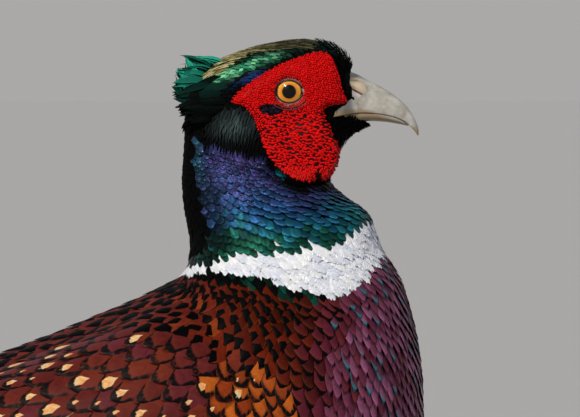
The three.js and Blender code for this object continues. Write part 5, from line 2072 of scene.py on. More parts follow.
        # each bead leans away from the eye, lies along its row, or hangs at the hem
        lean = unit(np.stack([x - 1, np.zeros_like(x), z - EYE_HEIGHT], -1))
        lean = lean + np.stack([-0.4 + 0 * x, 0 * x, -1.2 * ease(326, 320, z)], -1)
        lean[net] = [c, 0, d]
        hem = ease(321, 316, z) + 0.6 * ease(2.0, 0.3, gap) * (z < 330)
        size = 0.33 + 0.1 * draw.random(len(x)) + 0.14 * hem
        long = size * (1.3 + 0.5 * hem + 0.4 * net)
        size = np.where(off < self.eye_hole + 1.6, size * 0.8, size)
        turns = []
        for i in range(len(x)):
            up = Vector(normal[i])
            on = Vector(lean[i]) + up * (0.0 if net[i] else 0.3)
            on += Vector(draw.normal(0, 0.12 if net[i] else 0.3, 3))
            across = up.cross(on).normalized()
            on.normalize()
            turns.append(Matrix((on, across, on.cross(across))).transposed().to_euler())
        points = np.stack([x, side * self.skin_out(x, z), z], -1) + normal * 0.12
        shape = Shape(points, [], {}, {
            "turn": np.array([tuple(t) for t in turns]),
            "size": np.stack([long, size, size * 0.95], -1) * MM})
        homes = np.stack([(x + 21) / 84 + (0.5 if side > 0 else 0), (z - 313) / 94 + 0.5], -1)
        return shape, homes

    def ball(self, side: int) -> Shape:
        """Make an eyeball with its pole where the pupil is.

        Args:
            side: 1 for the left, -1 for the right.

        Returns:
            The closed ball.
        """
        bend = np.linspace(0.02, math.pi - 0.02, 56)[:, None]
        a = np.linspace(0, TURN, 72, endpoint=False)[None, :]
        r = EYE_RADIUS * np.sin(bend)
        y = np.broadcast_to(EYE_DEPTH + EYE_RADIUS * np.cos(bend), (56, 72))
        return loft(np.stack([r * np.cos(a), side * y, EYE_HEIGHT + r * np.sin(a)], -1))

    def lid(self, side: int, radius: Tuple[float, float], tube: float, depth: float) -> Shape:
        """Make a ring of skin round the eye.

        Args:
            side: 1 for the left, -1 for the right.
            radius: Its half width and half height.
            tube: Its thickness.
            depth: How far its middle stands off the eyeball.

        Returns:
            The closed ring.
        """
        a = np.linspace(0, TURN, 96, endpoint=False)[:, None]
        b = np.linspace(0, TURN, 14, endpoint=False)[None, :]
        front = np.exp(-((np.angle(np.exp(1j * (a - 0.05))) / 0.3) ** 2))
        middle = np.hypot(radius[0] * np.cos(a), radius[1] * np.sin(a))
        on_ball = EYE_DEPTH + np.sqrt(EYE_RADIUS ** 2 - middle ** 2)
        rx, rz = radius[0] + tube * np.cos(b) + 1.5 * front, radius[1] + tube * np.cos(b)
        y = on_ball + depth + tube * np.sin(b) - 0.3 * front
        points = np.stack([rx * np.cos(a), side * y, EYE_HEIGHT + rz * np.sin(a)], -1)
        n, k = points.shape[:2]
        at = np.arange(n * k).reshape(n, k)
        quads = np.stack([at, np.roll(at, -1, 0), np.roll(np.roll(at, -1, 0), -1, 1),
                          np.roll(at, -1, 1)], -1).reshape(-1, 4)
        return Shape(points.reshape(-1, 3), [quads if side > 0 else quads[:, ::-1]])

    def fold(self, side: int, radius: float) -> Shape:
        """Make a fold of skin under the eye.

        Args:
            side: 1 for the left, -1 for the right.
            radius: How far it is from the eye's middle.

        Returns:
            The closed fold, thin at both ends.
        """
        a = np.linspace(-2.6, -0.35, 40)[:, None]
        b = np.linspace(0, TURN, 10, endpoint=False)[None, :]
        tube = 0.32 * np.sin(np.linspace(0.15, math.pi - 0.15, 40))[:, None]
        r = radius + tube * np.cos(b)
        x, z = r * np.cos(a), EYE_HEIGHT + r * 0.86 * np.sin(a)
        y = self.skin_out(radius * np.cos(a), EYE_HEIGHT + radius * 0.86 * np.sin(a)) + 0.25
        return loft(np.stack([x, side * (y + tube * np.sin(b)), z], -1))

    def corner(self, side: int) -> Shape:
        """Make the grey skin in the eye's front corner.

        Args:
            side: 1 for the left, -1 for the right.

        Returns:
            A closed sliver.
        """
        bend = np.linspace(0.02, math.pi - 0.02, 12)[:, None]
        a = np.linspace(0, TURN, 20, endpoint=False)[None, :]
        on, off = 1.75 * np.cos(bend) + 0 * a, 0.8 * np.sin(bend) * np.cos(a)
        x = 5.45 - 0.3 * on + off - 0.25 * on ** 2
        y = self.lid_out + 0.4 * np.sin(bend) * np.sin(a)
        return loft(np.stack([x, side * y, EYE_HEIGHT - 0.6 + on], -1))

    def spot_feathers(self, side: int) -> Shape:
        """Make the patch of small dark feathers behind and under the eye.

        Args:
            side: 1 for the left, -1 for the right.

        Returns:
            The closed vanes.
        """
        draw = np.random.default_rng(SEED + side)
        sx, sz, rx, rz = self.spot
        shapes = []
        while len(shapes) < self.spot_count:
            x, z = draw.uniform(-1, 1, 2)
            if math.hypot(x, z) > 0.95:
                continue
            start = np.array([sx + 0.9 + x * rx * 0.8, 0.0, sz + z * rz * 0.85 - x * 0.3])
            start[1] = side * (float(self.skin_out(start[0], start[2])) - 0.1)
            way = np.array([-2.1, side * 0.35, draw.normal(-0.25, 0.2)])
            base = blend(*hues("#050406", "#2C2438"), draw.random() ** 2)
            up = np.array([0.0, float(side), 0.0])
            shapes.append(straight_vane(start, way, up, 0.42, 0.35, base,
                                        ((SEED + len(shapes)) / 80, 0.9), draw))
        return Shape.together(shapes)

    def lid_beads(self, side: int) -> Shape:
        """Place the pale beads on the lids' outer rim.

        Args:
            side: 1 for the left, -1 for the right.

        Returns:
            Points with their turns and sizes.
        """
        draw = np.random.default_rng(SEED)
        count = 52
        a = np.linspace(0, TURN, count, endpoint=False) + draw.normal(0, 0.02, count)
        out = draw.uniform(4.75, 5.15, count)
        points = np.stack([out * 1.02 * np.cos(a), np.full(count, side * (self.lid_out + 0.4)),
                           EYE_HEIGHT + out * 0.94 * np.sin(a)], -1)
        size = draw.uniform(0.16, 0.34, count)
        return Shape(points, [], {}, {
            "turn": np.stack([0 * a, -a, 0 * a], -1),
            "size": np.stack([size * 1.5, size, size], -1) * MM})

    def build(self) -> None:
        """Make both sides of the face."""
        ground = ScarletSkin("scarlet_bare_skin", self.spot).dress()
        bead = ScarletSkin("scarlet_beaded_skin").dress()
        wet = WetEye().dress()
        rim = LidSkin("dark_lid_rim", "#0C0807", "#241614").dress()
        pale = LidSkin("pink_lid_skin", "#8E2A24", "#B8746C").dress()
        grey = LidSkin("grey_eye_corner", "#6A625E", "#B4ACA8").dress()
        velvet = HEAD_VELVET.dress()
        for side, word in SIDES:
            put(f"wattle_ground_{word}", self.hide(side).mesh("ground"), ground, "wattle_skin",
                f"wattle_{word}")
            shape, homes = self.beads(side)
            mesh = Grains("face_beads").grow(shape, bead)
            bake_patches(mesh, homes)
            put(f"wattle_beads_{word}", mesh, bead, "wattle_skin")
            put(f"eyeball_{word}", self.ball(side).mesh("ball"), wet, "eye_amber", f"eye_{word}")
            put(f"lid_rim_{word}", self.lid(side, (4.2, 3.62), 0.27, 0.1).mesh("rim"), rim,
                "wattle_skin")
            put(f"lid_{word}", self.lid(side, (4.72, 4.15), 0.38, 0.12).mesh("lid"), pale,
                "wattle_skin")
            put(f"eye_corner_{word}", self.corner(side).mesh("corner"), grey, "wattle_skin")
            # painted shade: the folds under the eye are a dark red-brown for the shade of their
            # creases
            put(f"lid_folds_{word}", Shape.together([self.fold(side, r) for r in (6.1, 7.0)])
                .mesh("folds"), LidSkin("brown_lid_fold", "#3A0C0A", "#7A2018").dress(),
                "wattle_skin")
            put(f"cheek_spot_{word}", self.spot_feathers(side).mesh("spot", 60), velvet,
                "head_plumage")
            beads = Grains("lid_beads", spread=0.2).grow(self.lid_beads(side), pale)
            put(f"lid_beads_{word}", beads, pale, "wattle_skin")


# Long feathers


def long_vane(place: Callable, outline: Line, rows: int, columns: int,
              thick: float, length: float, base: Array, trim: Array, mark: float,
              patch: Sequence[float], draw: np.random.Generator) -> Shape:
    """Make one long feather.

    Args:
        place: From shares along and across to points, and the way out there.
        outline: The half width as a share, at shares of the length.
        rows: Steps along.
        columns: Steps across.
        thick: Thickness in the middle.
        length: About how long it is.
        base: Colour of the vane.
        trim: Colour of its edges and shaft.
        mark: How strong its marking is.
        patch: The lowest corner and the size of its part of the bake's map.
        draw: For the barbs' small splits.

    Returns:
        The closed vane.
    """
    v = np.linspace(0, 1, rows) ** 0.92
    u = np.linspace(-1, 1, columns)
    wide = through(outline, v)
    wave = 1 + 0.03 * np.sin(v * 40 + draw.random() * 6) + draw.normal(0, 0.012, rows)
    vv, uu = np.meshgrid(v, u, indexing="ij")
    across = uu * (wide * wave)[:, None]
    along = vv - 0.015 * uu ** 2 * vv
    centre, out = place(along, across)
    points, faces, source = lens(centre[None], out[None], thick)
    uv = np.stack([uu * 0.5 + 0.5, vv], -1).reshape(-1, 2)[source]
    n = len(points)
    tile = lambda row: np.broadcast_to(row, (n, len(row))).copy()
    own = np.array([draw.random(), mark, length / LENGTH_UNIT])
    return Shape(points, [faces], {"base": tile(base), "trim": tile(trim)}, {"own": tile(own)},
                 {"Vane": uv, "OFBake": np.array(patch[:2]) + uv * np.array(patch[2:])})


# Outlines of long feathers: the half width as a share, at shares of the length
ROUNDED = ((0, 0.6), (0.3, 0.92), (0.5, 1), (0.8, 0.94), (0.92, 0.72), (1, 0.25))
BLADE = ((0, 0.5), (0.3, 0.95), (0.6, 1), (0.85, 0.6), (1, 0.1))
POINTED = ((0, 0.5), (0.2, 0.95), (0.5, 0.85), (0.8, 0.55), (1, 0.12))


def straight_vane(start: Array, way: Array, up: Array, wide: float, bow: float, base: Array,
                  home: Tuple[float, float], draw: np.random.Generator) -> Shape:
    """Make a small feather that stands off the skin in its own direction.

    Args:
        start: Its root.
        way: From its root to its tip.
        up: The way that its outer face looks.
        wide: Half its width.
        bow: How far its middle bends outwards.
        base: Its colour.
        home: Its place on the skin's unwrap.
        draw: For its splits.

    Returns:
        The closed vane.
    """
    across_way = unit(np.cross(way, up))
    lift = unit(np.cross(across_way, way))
    lift = lift if lift @ up > 0 else -lift

    def place(along: Array, across: Array) -> Tuple[Array, Array]:
        """Place the feather's points.

        Args:
            along: Shares of its length.
            across: Shares of its half width.

        Returns:
            The points, and the way up from each.
        """
        rise = bow * np.sin(along * math.pi) - 0.2 * across ** 2 * wide
        centre = (start + along[..., None] * way + across[..., None] * across_way * wide
                  + rise[..., None] * lift)
        return centre, np.broadcast_to(lift, centre.shape)

    patch = (home[0] % 1 * 0.99, home[1] % 1 * 0.99, PATCH, PATCH)
    return long_vane(place, BLADE, 8, 5, 0.12, np.linalg.norm(way), base, base * 1.5, 0.0, patch,
                     draw)


@dataclass(frozen=True)
class Tier:
    """A tier of wing feathers.

    Its lowest and its highest feather are each given as the place and angle of the root and
    those of the tip. A step lifts each feather over the last, and the height over the body is
    given along the body.
    """

    name: str
    count: int
    wide: float
    step: float
    shingle: float
    height: Tuple[Tuple[float, float], ...]
    first: Tuple[Tuple[float, float], Tuple[float, float]]
    last: Tuple[Tuple[float, float], Tuple[float, float]]
    long: float
    colours: Tuple[str, str]
    trims: Tuple[str, str]
    finish: VaneFinish


@dataclass
class Wing:
    """A folded wing: flight feathers in two tiers under two tiers of coverts."""

    lie: Lie
    tiers: Tuple[Tier, ...] = (
        Tier("primaries", 9, 9, 0.32, 0.3, ((0, 4.4), (1, 3.0), (2.6, 2.0), (3.2, 1.7)),
             ((3.1, 1.66), (0.8, 1.42)), ((3, 1.3), (0.12, 1.12)), 120, ("#6E5A42", "#84704E"),
             ("#9C8660", "#B09870"), QUILL_BARRED),
        Tier("secondaries", 12, 10.5, 0.28, 0.6, ((0.8, 5.0), (2.2, 4.6), (3.3, 3.6), (4.2, 1.8)),
             ((4.2, 1.84), (1.9, 1.66)), ((4, 0.8), (0.95, 0.8)), 110, ("#6E5238", "#86623E"),
             ("#A8845A", "#8A4E28"), QUILL_BARRED),
        Tier("greater_coverts", 18, 6.6, 0.05, 0.8,
             ((2.3, 7.8), (3.6, 7.6), (4.6, 6.8), (5.05, 4.0)), ((5.15, 1.86), (2.95, 1.88)),
             ((5.05, 0.9), (2.1, 0.9)), 80, ("#6E685C", "#86704E"), ("#6A2E1A", "#7A3E22"),
             WING_BUFF),
        Tier("median_coverts", 15, 6.0, 0.05, 0.8,
             ((3.4, 9.4), (4.6, 8.8), (5.3, 7.6), (5.75, 4.0)), ((5.75, 1.8), (4.3, 1.86)),
             ((5.7, 0.95), (3.6, 0.95)), 50, ("#7A7262", "#8A7048"), ("#7A3A20", "#6A2416"),
             WING_BUFF),
    )

    def feather(self, tier: Tier, index: int, side: int, draw: np.random.Generator,
                patch: Sequence[float]) -> Shape:
        """Make one feather of a tier.

        Args:
            tier: The tier.
            index: Which one it is, counted from the lowest.
            side: 1 for the left, -1 for the right.
            draw: For its length, colour and splits.
            patch: The lowest corner and the size of its part of the bake's map.

        Returns:
            The closed vane.
        """
        share = index / (tier.count - 1)
        root, tip = ([a + (b - a) * share for a, b in zip(tier.first[end], tier.last[end])]
                     for end in (0, 1))
        length = 0.97 + 0.05 * draw.random()

        def place(along: Array, across: Array) -> Tuple[Array, Array]:
            """Place the feather's points.

            Args:
                along: Shares of its length.
                across: Shares of its half width.

            Returns:
                The points, and the way out from the body at each.
            """
            t = root[0] + (tip[0] - root[0]) * along * length
            half = catmull(STATIONS, t - TAIL_PLACE)[..., 4]
            a = side * (root[1] + (tip[1] - root[1]) * along + across * tier.wide / half)
            off = through(tier.height, t) + index * tier.step + across * tier.shingle
            return section_point(t, a, off), unit(section_point(t, a, off + 1)
                                                  - section_point(t, a, off))

        mixed = lambda pair: blend(*hues(*pair), draw.random())
        return long_vane(place, ROUNDED, 18, 7, 0.5, tier.long, mixed(tier.colours),
                         mixed(tier.trims), 0.8, patch, draw)

    def build(self) -> None:
        """Make both wings, a piece for each tier."""
        dressed = {f.name: f.dress() for f in (QUILL_BARRED, WING_BUFF)}
        for side, word in SIDES:
            draw = np.random.default_rng(SEED)
            for row, tier in enumerate(self.tiers):
                shapes = []
                for i in range(tier.count):
                    patch = (0.02 + i * 0.06, 0.02 + row * 0.24, 0.05, 0.22)
                    shapes.append(self.feather(tier, i, side, draw, patch))
                nodes = (f"wing_{word}",) if row == 0 else ()
                put(f"{tier.name}_{word}", Shape.together(shapes).mesh(tier.name, 60),
                    dressed[tier.finish.name], "wing_plumage", *nodes)


@dataclass
class Tail:
    """Eighteen barred tail feathers, the middle pair longest, with coverts at their roots."""

    shares: Tuple[float, ...] = (1, 0.86, 0.7, 0.56, 0.46, 0.385, 0.33, 0.28, 0.245)
    root: Tuple[float, float] = (-245.0, 186.5)
    sink: float = 0.165
    layer: float = 1.35
    fan: float = 0.017
    droop: float = 0.3
    sag: float = 10.0
    seam: float = 0.2
    coverts: Tuple[Tuple[float, ...], ...] = (
        # length, half width, off the middle, spread, height
        (132, 9, 4, 0.015, 10.6), (118, 9, 9, 0.05, 9.8), (104, 9, 13, 0.08, 8.9),
        (90, 8.5, 16, 0.1, 8.0), (78, 8, 18, 0.13, 7.0), (60, 7, 6, 0.03, 12.2),
        (52, 7, 12, 0.08, 11.0), (46, 7, 17, 0.12, 9.0))
    under: Tuple[Tuple[float, ...], ...] = (
        (84, 9, 5, 0.02, -8.2), (76, 9, 10, 0.06, -7.4), (68, 8, 14, 0.1, -6.4),
        (50, 8, 6, 0.03, -9.6), (46, 8, 12, 0.08, -8.8))

    def feather(self, size: Sequence[float], side: int, outline: Line,
                rows: int, colours: Tuple[str, str], mark: float, patch: Sequence[float],
                draw: np.random.Generator) -> Shape:
        """Make one feather of the tail or its coverts.

        Args:
            size: Length, half width, how far off the middle, how it spreads, and height.
            side: 1 for the left, -1 for the right.
            outline: The half width as a share, at shares of the length.
            rows: Steps along.
            colours: Its vane's colour and that of its edges.
            mark: How strong its marking is.
            patch: The lowest corner and the size of its part of the bake's map.
            draw: For its tone and splits.

        Returns:
            The closed vane.
        """
        length, wide, y, spread, high = size

        def place(along: Array, across: Array) -> Tuple[Array, Array]:
            """Place the feather's points.

            Args:
                along: Shares of its length.
                across: Shares of its half width.

            Returns:
                The points, and the way up from each.
            """
            far = along * length
            out = np.maximum(self.seam, y * (1 - 0.75 * along) + far * spread + across * wide)
            sag = self.sag * ((far / TAIL_LENGTH) ** 2 - far / TAIL_LENGTH)
            z = self.root[1] + high - out * self.droop - far * self.sink - sag
            centre = np.stack([self.root[0] - 4 - far, side * out, z], -1)
            up = unit(np.array([-self.sink, side * self.droop, 1.0]))
            return centre, np.broadcast_to(up, centre.shape)

        base, trim = hues(*colours)
        return long_vane(place, outline, rows, 7, 0.5, length, base * draw.uniform(0.85, 1.1),
                         trim, mark, patch, draw)

    def build(self) -> None:
        """Make the tail."""
        draw = np.random.default_rng(SEED)
        quills, over = [], []
        for k, (side, _) in enumerate(SIDES):
            for i, share in enumerate(self.shares):
                size = (share * TAIL_LENGTH, 13 - 1.5 * i / 8, 4 + 1.3 * i, i * self.fan,
                        5.6 - i * self.layer)
                patch = (0.02 + (k * 9 + i) * 0.053, 0.02, 0.045, 0.96 * share)
                quills.append(self.feather(size, side, POINTED, 60, ("#94744A", "#6E3A2C"), 0.9,
                                           patch, draw))
            for i, size in enumerate((*self.coverts, *self.under)):
                colours = ("#7E8068", "#8E5A34") if size[4] > 0 else ("#2A1A12", "#3A2014")
                patch = (0.02 + (k * 13 + i) * 0.037, 0.02, 0.03, size[0] / 300)
                over.append(self.feather(size, side, ROUNDED, 20, colours, 0.5, patch, draw))
        put("tail_quills", Shape.together(quills).mesh("quills", 60), TAIL_BARRED.dress(),
            "tail_plumage", "tail")
        put("tail_coverts", Shape.together(over).mesh("coverts", 60), RUMP_HAIR.dress(),
            "rump_plumage")


@dataclass
class Tufts:
    """The longer feathers that stand off the hind crown and the nape on both sides."""

    lie: Lie
    # root place and angle, tip x, z and y, how many, half width, lower colour, upper colour
    rows: Tuple[Tuple[object, ...], ...] = (
        (15.2, 0.1, -34.5, 356.2, 3.5, 13, 1.3, "#0A4A40", "#2A9A80"),
        (14.9, 0.2, -37.5, 352.0, 6.0, 14, 1.3, "#0A4A40", "#28927A"),
        (14.7, 0.35, -38.2, 347.6, 8.5, 14, 1.3, "#06302A", "#1C7A68"),
        (14.8, 0.8, -37.8, 343.2, 11.5, 15, 1.3, "#020404", "#0A2E28"),
        (14.7, 1.0, -37.0, 338.6, 13.0, 16, 1.2, "#020303", "#040C0A"),
        (14.3, 0.9, -34.5, 334.0, 12.5, 15, 1.1, "#020303", "#030605"),
        (14.0, 0.5, -34.4, 331.0, 7.0, 14, 1.1, "#020303", "#030605"),
    )
    chin: int = 170

    def crest(self, side: int, draw: np.random.Generator) -> List[Shape]:
        """Make one side's tuft.

        Args:
            side: 1 for the left, -1 for the right.
            draw: For the feathers' disorder.

        Returns:
            Its feathers.
        """
        shapes = []
        for t, a, x, z, out, count, wide, low, high in self.rows:
            for _ in range(int(count * 1.5)):
                place = np.array(t + draw.normal(0, 0.28))
                angle = np.array(side * (a + draw.normal(0, 0.12)))
                start = self.lie.at(place, angle, -1.4)
                tip = np.array([x, side * out * draw.uniform(0.8, 1.15), z])
                tip[[0, 2]] += draw.normal(0, 0.9, 2)
                way = (tip - start) * draw.uniform(0.72, 1.0)
                outward = self.lie.read(self.lie.normal, place, angle)
                base = blend(*hues(low, high), draw.random())
                home = (float(angle) / TURN, (float(place) + 2) / 22)
                shapes.append(straight_vane(start, way, outward, wide, 1.6, base, home, draw))
        return shapes

    def bristles(self, side: int, draw: np.random.Generator) -> List[Shape]:
        """Make one side's bristly chin feathers, which point forwards.

        Args:
            side: 1 for the left, -1 for the right.
            draw: For the feathers' disorder.

        Returns:
            The feathers.
        """
        shapes = []
        for _ in range(self.chin):
            t = np.array(draw.uniform(15.8, 19.1))
            a = np.array(math.pi - side * abs(draw.normal(0, 0.3)) * ease(21, 17, float(t)))
            way = np.array([draw.uniform(2.0, 3.6), side * draw.uniform(-0.3, 0.6),
                            draw.uniform(-1.7, -0.9)]) * ease(15.0, 19.5, float(t))
            shapes.append(straight_vane(
                self.lie.at(t, a, -0.8), way, self.lie.read(self.lie.normal, t, a), 0.36, 0.3,
                blend(*hues("#020303", "#040606"), draw.random()),
                (float(a) / TURN, (float(t) + 2) / 22), draw))
        return shapes

    def build(self) -> None:
        """Make the tufts and the chin of both sides."""
        draw = np.random.default_rng(SEED)
        shapes = []
        for side, _ in SIDES:
            shapes += self.crest(side, draw) + self.bristles(side, draw)
        put("coat_tufts", Shape.together(shapes).mesh("tufts", 60), HEAD_VELVET.dress(),
            "head_plumage")


# Legs


@dataclass(frozen=True)
class Toe:
    """A toe: its turn from straight ahead to the outside, its sizes and its claw's length."""

    word: str
    turn: float
    length: float
    radius: float
    claw: float


@dataclass
class Leg:
    """A leg: a feathered thigh, a scaled tarsus with its spur, four toes and their claws."""

    side: int
    word: str
    ahead: float
    stance: float = -104.0
    hip: Tuple[float, float, float] = (-82.0, 33.0, 166.0)
    ankle_back: float = 17.0
    ankle_high: float = 13 + TARSUS_LENGTH * 0.965
    hub: Tuple[float, float] = (5.6, 6.4)
    radii: Tuple[float, ...] = (22, 26, 25, 19, 12.5, 8.6, 6.8)
    profile: Tuple[Tuple[float, float], ...] = (
        (-0.07, 0.7), (0, 1.5), (0.07, 1.4), (0.2, 1.02), (0.5, 1), (0.8, 1.02), (1, 1.3))
    plates: int = 17
    taper: float = 0.68
    toes: Tuple[Toe, ...] = (
        Toe("inner", -0.52, 37, 3.3, 11), Toe("middle", 0.02, 50, 3.6, 12),
        Toe("outer", 0.55, 39, 3.2, 11), Toe("hind", math.pi - 0.25, 17, 2.8, 7))

    def __post_init__(self) -> None:
        """Work out the joints' places."""
        self.centre = np.array([self.stance + self.ahead, self.side * FOOT_SPREAD, 0.0])
        self.foot = self.centre + [0, 0, self.hub[1] + 1.6]
        self.ankle = np.array([self.centre[0] - self.ankle_back, self.centre[1], self.ankle_high])
        self.top = np.array([self.hip[0] + self.ahead * 0.3, self.side * self.hip[1], self.hip[2]])

    def thigh_rings(self, shares: Array, columns: int, grow: float) -> Array:
        """Draw rings round the thigh.

        Args:
            shares: Where they are, as shares of its length.
            columns: How many points each has.
            grow: How far outside the thigh's form they run.

        Returns:
            Ring by point by coordinate.
        """
        way = unit(self.ankle - self.top)
        across = np.array([0.0, 1.0, 0.0])
        front = unit(np.cross(across, way))
        a = np.linspace(0, TURN, columns, endpoint=False)[None, :, None]
        radii = catmull(np.array(self.radii)[:, None], shares * (len(self.radii) - 1))
        radius = radii[:, None, :] + grow
        middle = self.top + (self.ankle - self.top) * shares[:, None, None]
        return middle + front * radius * np.cos(a) + across * radius * 0.8 * np.sin(a)

    def thigh_core(self) -> Shape:
        """Return the thigh's closed form inside its feathers."""
        return loft(self.thigh_rings(np.linspace(0.02, 1, 30), 40, -2.2))

    def thigh_coat(self) -> Shape:
        """Lay the thigh's loose feathers.

        Returns:
            Their closed vanes.
        """
        shares = np.linspace(1, -0.05, 106)
        lie = Lie(self.thigh_rings(np.clip(shares, 0, 1), 64, 0), 0.0, 0.01)
        pace = lambda t, a, p: (np.full(t.shape, 5.0), np.full(t.shape, 4.0))
        t, a = scatter(lie, 0.04, 0.9, pace, SEED + self.side)
        draw = np.random.default_rng(SEED + 3 + self.side)
        n = len(t)
        base = blend(hues("#1A120E").repeat(n, 0), hues("#33231A").repeat(n, 0), draw.random(n))
        size = 0.45 + 0.55 * ease(0.0, 0.35, t)
        lot = Lot(t, a, 17 * size * draw.normal(1, 0.08, n), 6 * size, draw.normal(0, 0.12, n),
                  base, base * 1.4, np.zeros(n), np.full(n, 1.8), draw.random(n) * 0.5)
        return small_feathers(lie, lot, Cuts.LOOSE.value, SEED + 9)

    def tarsus(self) -> Shape:
        """Make the bare shank, with overlapping plates in front and small scales behind.

        Returns:
            The closed shank.
        """
        shares = np.linspace(-0.07, 1, 200)[:, None]
        a = np.linspace(0, TURN, 56, endpoint=False)[None, :]
        way = unit(self.foot - self.ankle)
        across = np.array([0.0, 1.0, 0.0])
        front = unit(np.cross(across, way))
        radius = TARSUS_RADIUS * through(self.profile, shares)
        fore = ease(0.15, 0.4, np.cos(a))
        left = np.where(np.sin(a) > 0, 0.5, 0.0)
        turn = (shares * self.plates + left) % 1
        plate = fore * (0.42 * turn ** 0.8 * ease(1.0, 0.93, turn)
                        * ease(0.02, 0.14, np.abs(np.sin(a))))
        rows, cols = shares * self.plates * 2.2, a / TURN * 16
        cell = np.abs(np.sin(rows * math.pi)) * np.abs(np.sin((cols + 0.5 * np.floor(rows))
                                                              * math.pi))
        small = (1 - fore) * 0.26 * cell ** 0.5
        grown = radius + (plate + small) * ease(-0.07, 0.02, shares) * ease(1.02, 0.96, shares)
        middle = self.ankle + (self.foot - self.ankle) * shares[..., None]
        return loft(middle + front * (grown * np.cos(a))[..., None]
                    + across * (grown * 0.84 * np.sin(a))[..., None])

    def toe(self, toe: Toe) -> Shape:
        """Make a toe with plates across its top and pads beneath.

        Args:
            toe: Its turn and sizes.

        Returns:
            The closed toe, flat where it stands.
        """
        shares = np.linspace(0, 1, 110)[:, None]
        a = np.linspace(0, TURN, 36, endpoint=False)[None, :]
        way = np.array([math.cos(toe.turn), self.side * math.sin(toe.turn), 0.0])
        across = np.array([-way[1], way[0], 0.0])
        radius = toe.radius * (1 + (self.taper - 1) * shares)
        joint = 1 + 0.06 * np.sin(shares * 3 * TURN + 1)
        count = round(toe.length / 3.1)
        turn = (shares * count) % 1
        top = ease(0.1, 0.5, np.cos(a))
        rise = 0.36 * turn ** 0.8 * ease(1.0, 0.9, turn) * top
        ends = ease(0, 0.06, shares) * ease(1.0, 0.97, shares)
        high = 5.2 + (radius * 0.8 - 5.2) * np.minimum(1, shares * 4)
        z = np.maximum(0, high + (radius * joint + rise * ends) * np.cos(a))
        size = radius * joint * np.sin(a)
        points = (self.centre + way * (shares * toe.length)[..., None] + across * size[..., None])
        points = np.concatenate([points[..., :2], z[..., None]], -1)
        return loft(points)

    def ball(self) -> Shape:
        """Make the ball of the foot.

        Returns:
            The closed ball, flat where it stands.
        """
        bend = np.linspace(0.05, math.pi - 0.05, 24)[:, None]
        a = np.linspace(0, TURN, 32, endpoint=False)[None, :]
        r = self.hub[0] * 1.02 * np.sin(bend)
        z = np.maximum(0, self.hub[1] + self.hub[0] * 1.1 * np.cos(bend)) + 0 * a
        return loft(np.stack([self.centre[0] + r * np.cos(a), self.centre[1] + r * np.sin(a), z],
                             -1))

    def spike(self, root: Array, way: Array, bend: Array, length: float, radius: float) -> Shape:
        """Make a curved horn point.

        Args:
            root: The middle of its root.
            way: Where it points.
            bend: Where it curves to.
            length: Its length.
            radius: Its thickness at the root.

        Returns:
            The closed point.
        """
        across = unit(np.cross(way, bend))
        share = np.linspace(0, 1, 20)[:, None]
        a = np.linspace(0, TURN, 20, endpoint=False)[None, :]
        size = radius * through(((0, 1), (0.33, 0.92), (0.67, 0.6), (0.9, 0.25), (1, 0.06)), share)
        off = (length * 0.25 * share ** 2) + size * np.cos(a)
        return loft(root + way * (length * share)[..., None] + bend * off[..., None]
                    + across * (size * 0.8 * np.sin(a))[..., None])

    def build(self, scale: Material, horn: Material, spur: Material, down: Material) -> None:
        """Make the leg.

        Args:
            scale: Finish of the shank and toes.
            horn: Finish of the claws.
            spur: Finish of the spur.
            down: Finish of the thigh's feathers.
        """
        put(f"coat_thigh_{self.word}", self.thigh_coat().mesh("thigh", 60), down, "thigh_plumage")
        put(f"shank_{self.word}", self.tarsus().mesh("shank"), scale, "leg_scales",
            f"leg_{self.word}")
        toes = Shape.together([self.ball(), *(self.toe(t) for t in self.toes)])
        put(f"toes_{self.word}", toes.mesh("toes"), scale, "leg_scales", f"foot_{self.word}")
        for toe in self.toes:
            way = np.array([math.cos(toe.turn), self.side * math.sin(toe.turn), 0.0])
            radius = toe.radius * self.taper * 0.9
            root = self.centre + way * (toe.length - 0.6) + [0, 0, radius + 0.3]
            claw = self.spike(root, unit(way + [0, 0, 0.14]), np.array([0, 0, -1.0]), toe.claw,
                              radius)
            claw.points[:, 2] = np.maximum(claw.points[:, 2], 0)
            put(f"nail_{toe.word}_{self.word}", claw.mesh("nail"), horn, "claw_horn",
                f"claw_{toe.word}_{self.word}")
        start = self.foot + (self.ankle - self.foot) * 0.3
        way = unit(np.array([-1.0, -self.side * 0.25, -0.1]))
        put(f"spur_horn_{self.word}", self.spike(start, way, np.array([0, 0, 1.0]), 19, 3)
            .mesh("spur"), spur, "spur_horn", f"spur_{self.word}")


@dataclass(frozen=True)
class ScaleFinish:
    """Horny leg skin, grown in plates: grey-brown with darker seams and a dull gloss."""

    name: str = "grey_leg_scale"
    low: str = "#5E564C"
    high: str = "#9A9080"
    roughness: float = 0.48
    cloud: float = 5.56
    grain: float = 0.455

    def dress(self) -> Material:
        """Write the material.

        Returns:
            The material.
        """
        made, g = blank(self.name)
        place = g.add("ShaderNodeTexCoord").node.outputs["Object"]
        cloud = g.add(NOISE, place, inputs={"Scale": per(self.cloud), "Detail": 5.0})
        colour = g.add(RAMP, cloud, stops=((0.35, self.low), (0.65, self.high)))
        seam = g.add(RANGE, g.add("ShaderNodeNewGeometry").node.outputs["Pointiness"], 0.49,
                     0.44, 0.0, 0.8, **SMOOTH)
        colour = g.add(MIX, seam, colour, linear("#2E2822"))
        grain = g.add(NOISE, place, inputs={"Scale": per(self.grain), "Detail": 2.0})
        bump = g.add(BUMP, inputs={"Strength": 0.25, "Distance": 0.0001, "Height": grain})
        g.add(OUTPUT, g.add(PRINCIPLED, inputs={
            "Base Color": colour, "Normal": bump,
            "Roughness": g.add(RANGE, cloud, 0.3, 0.7, self.roughness - 0.08,
                               self.roughness + 0.12)}))
        return made


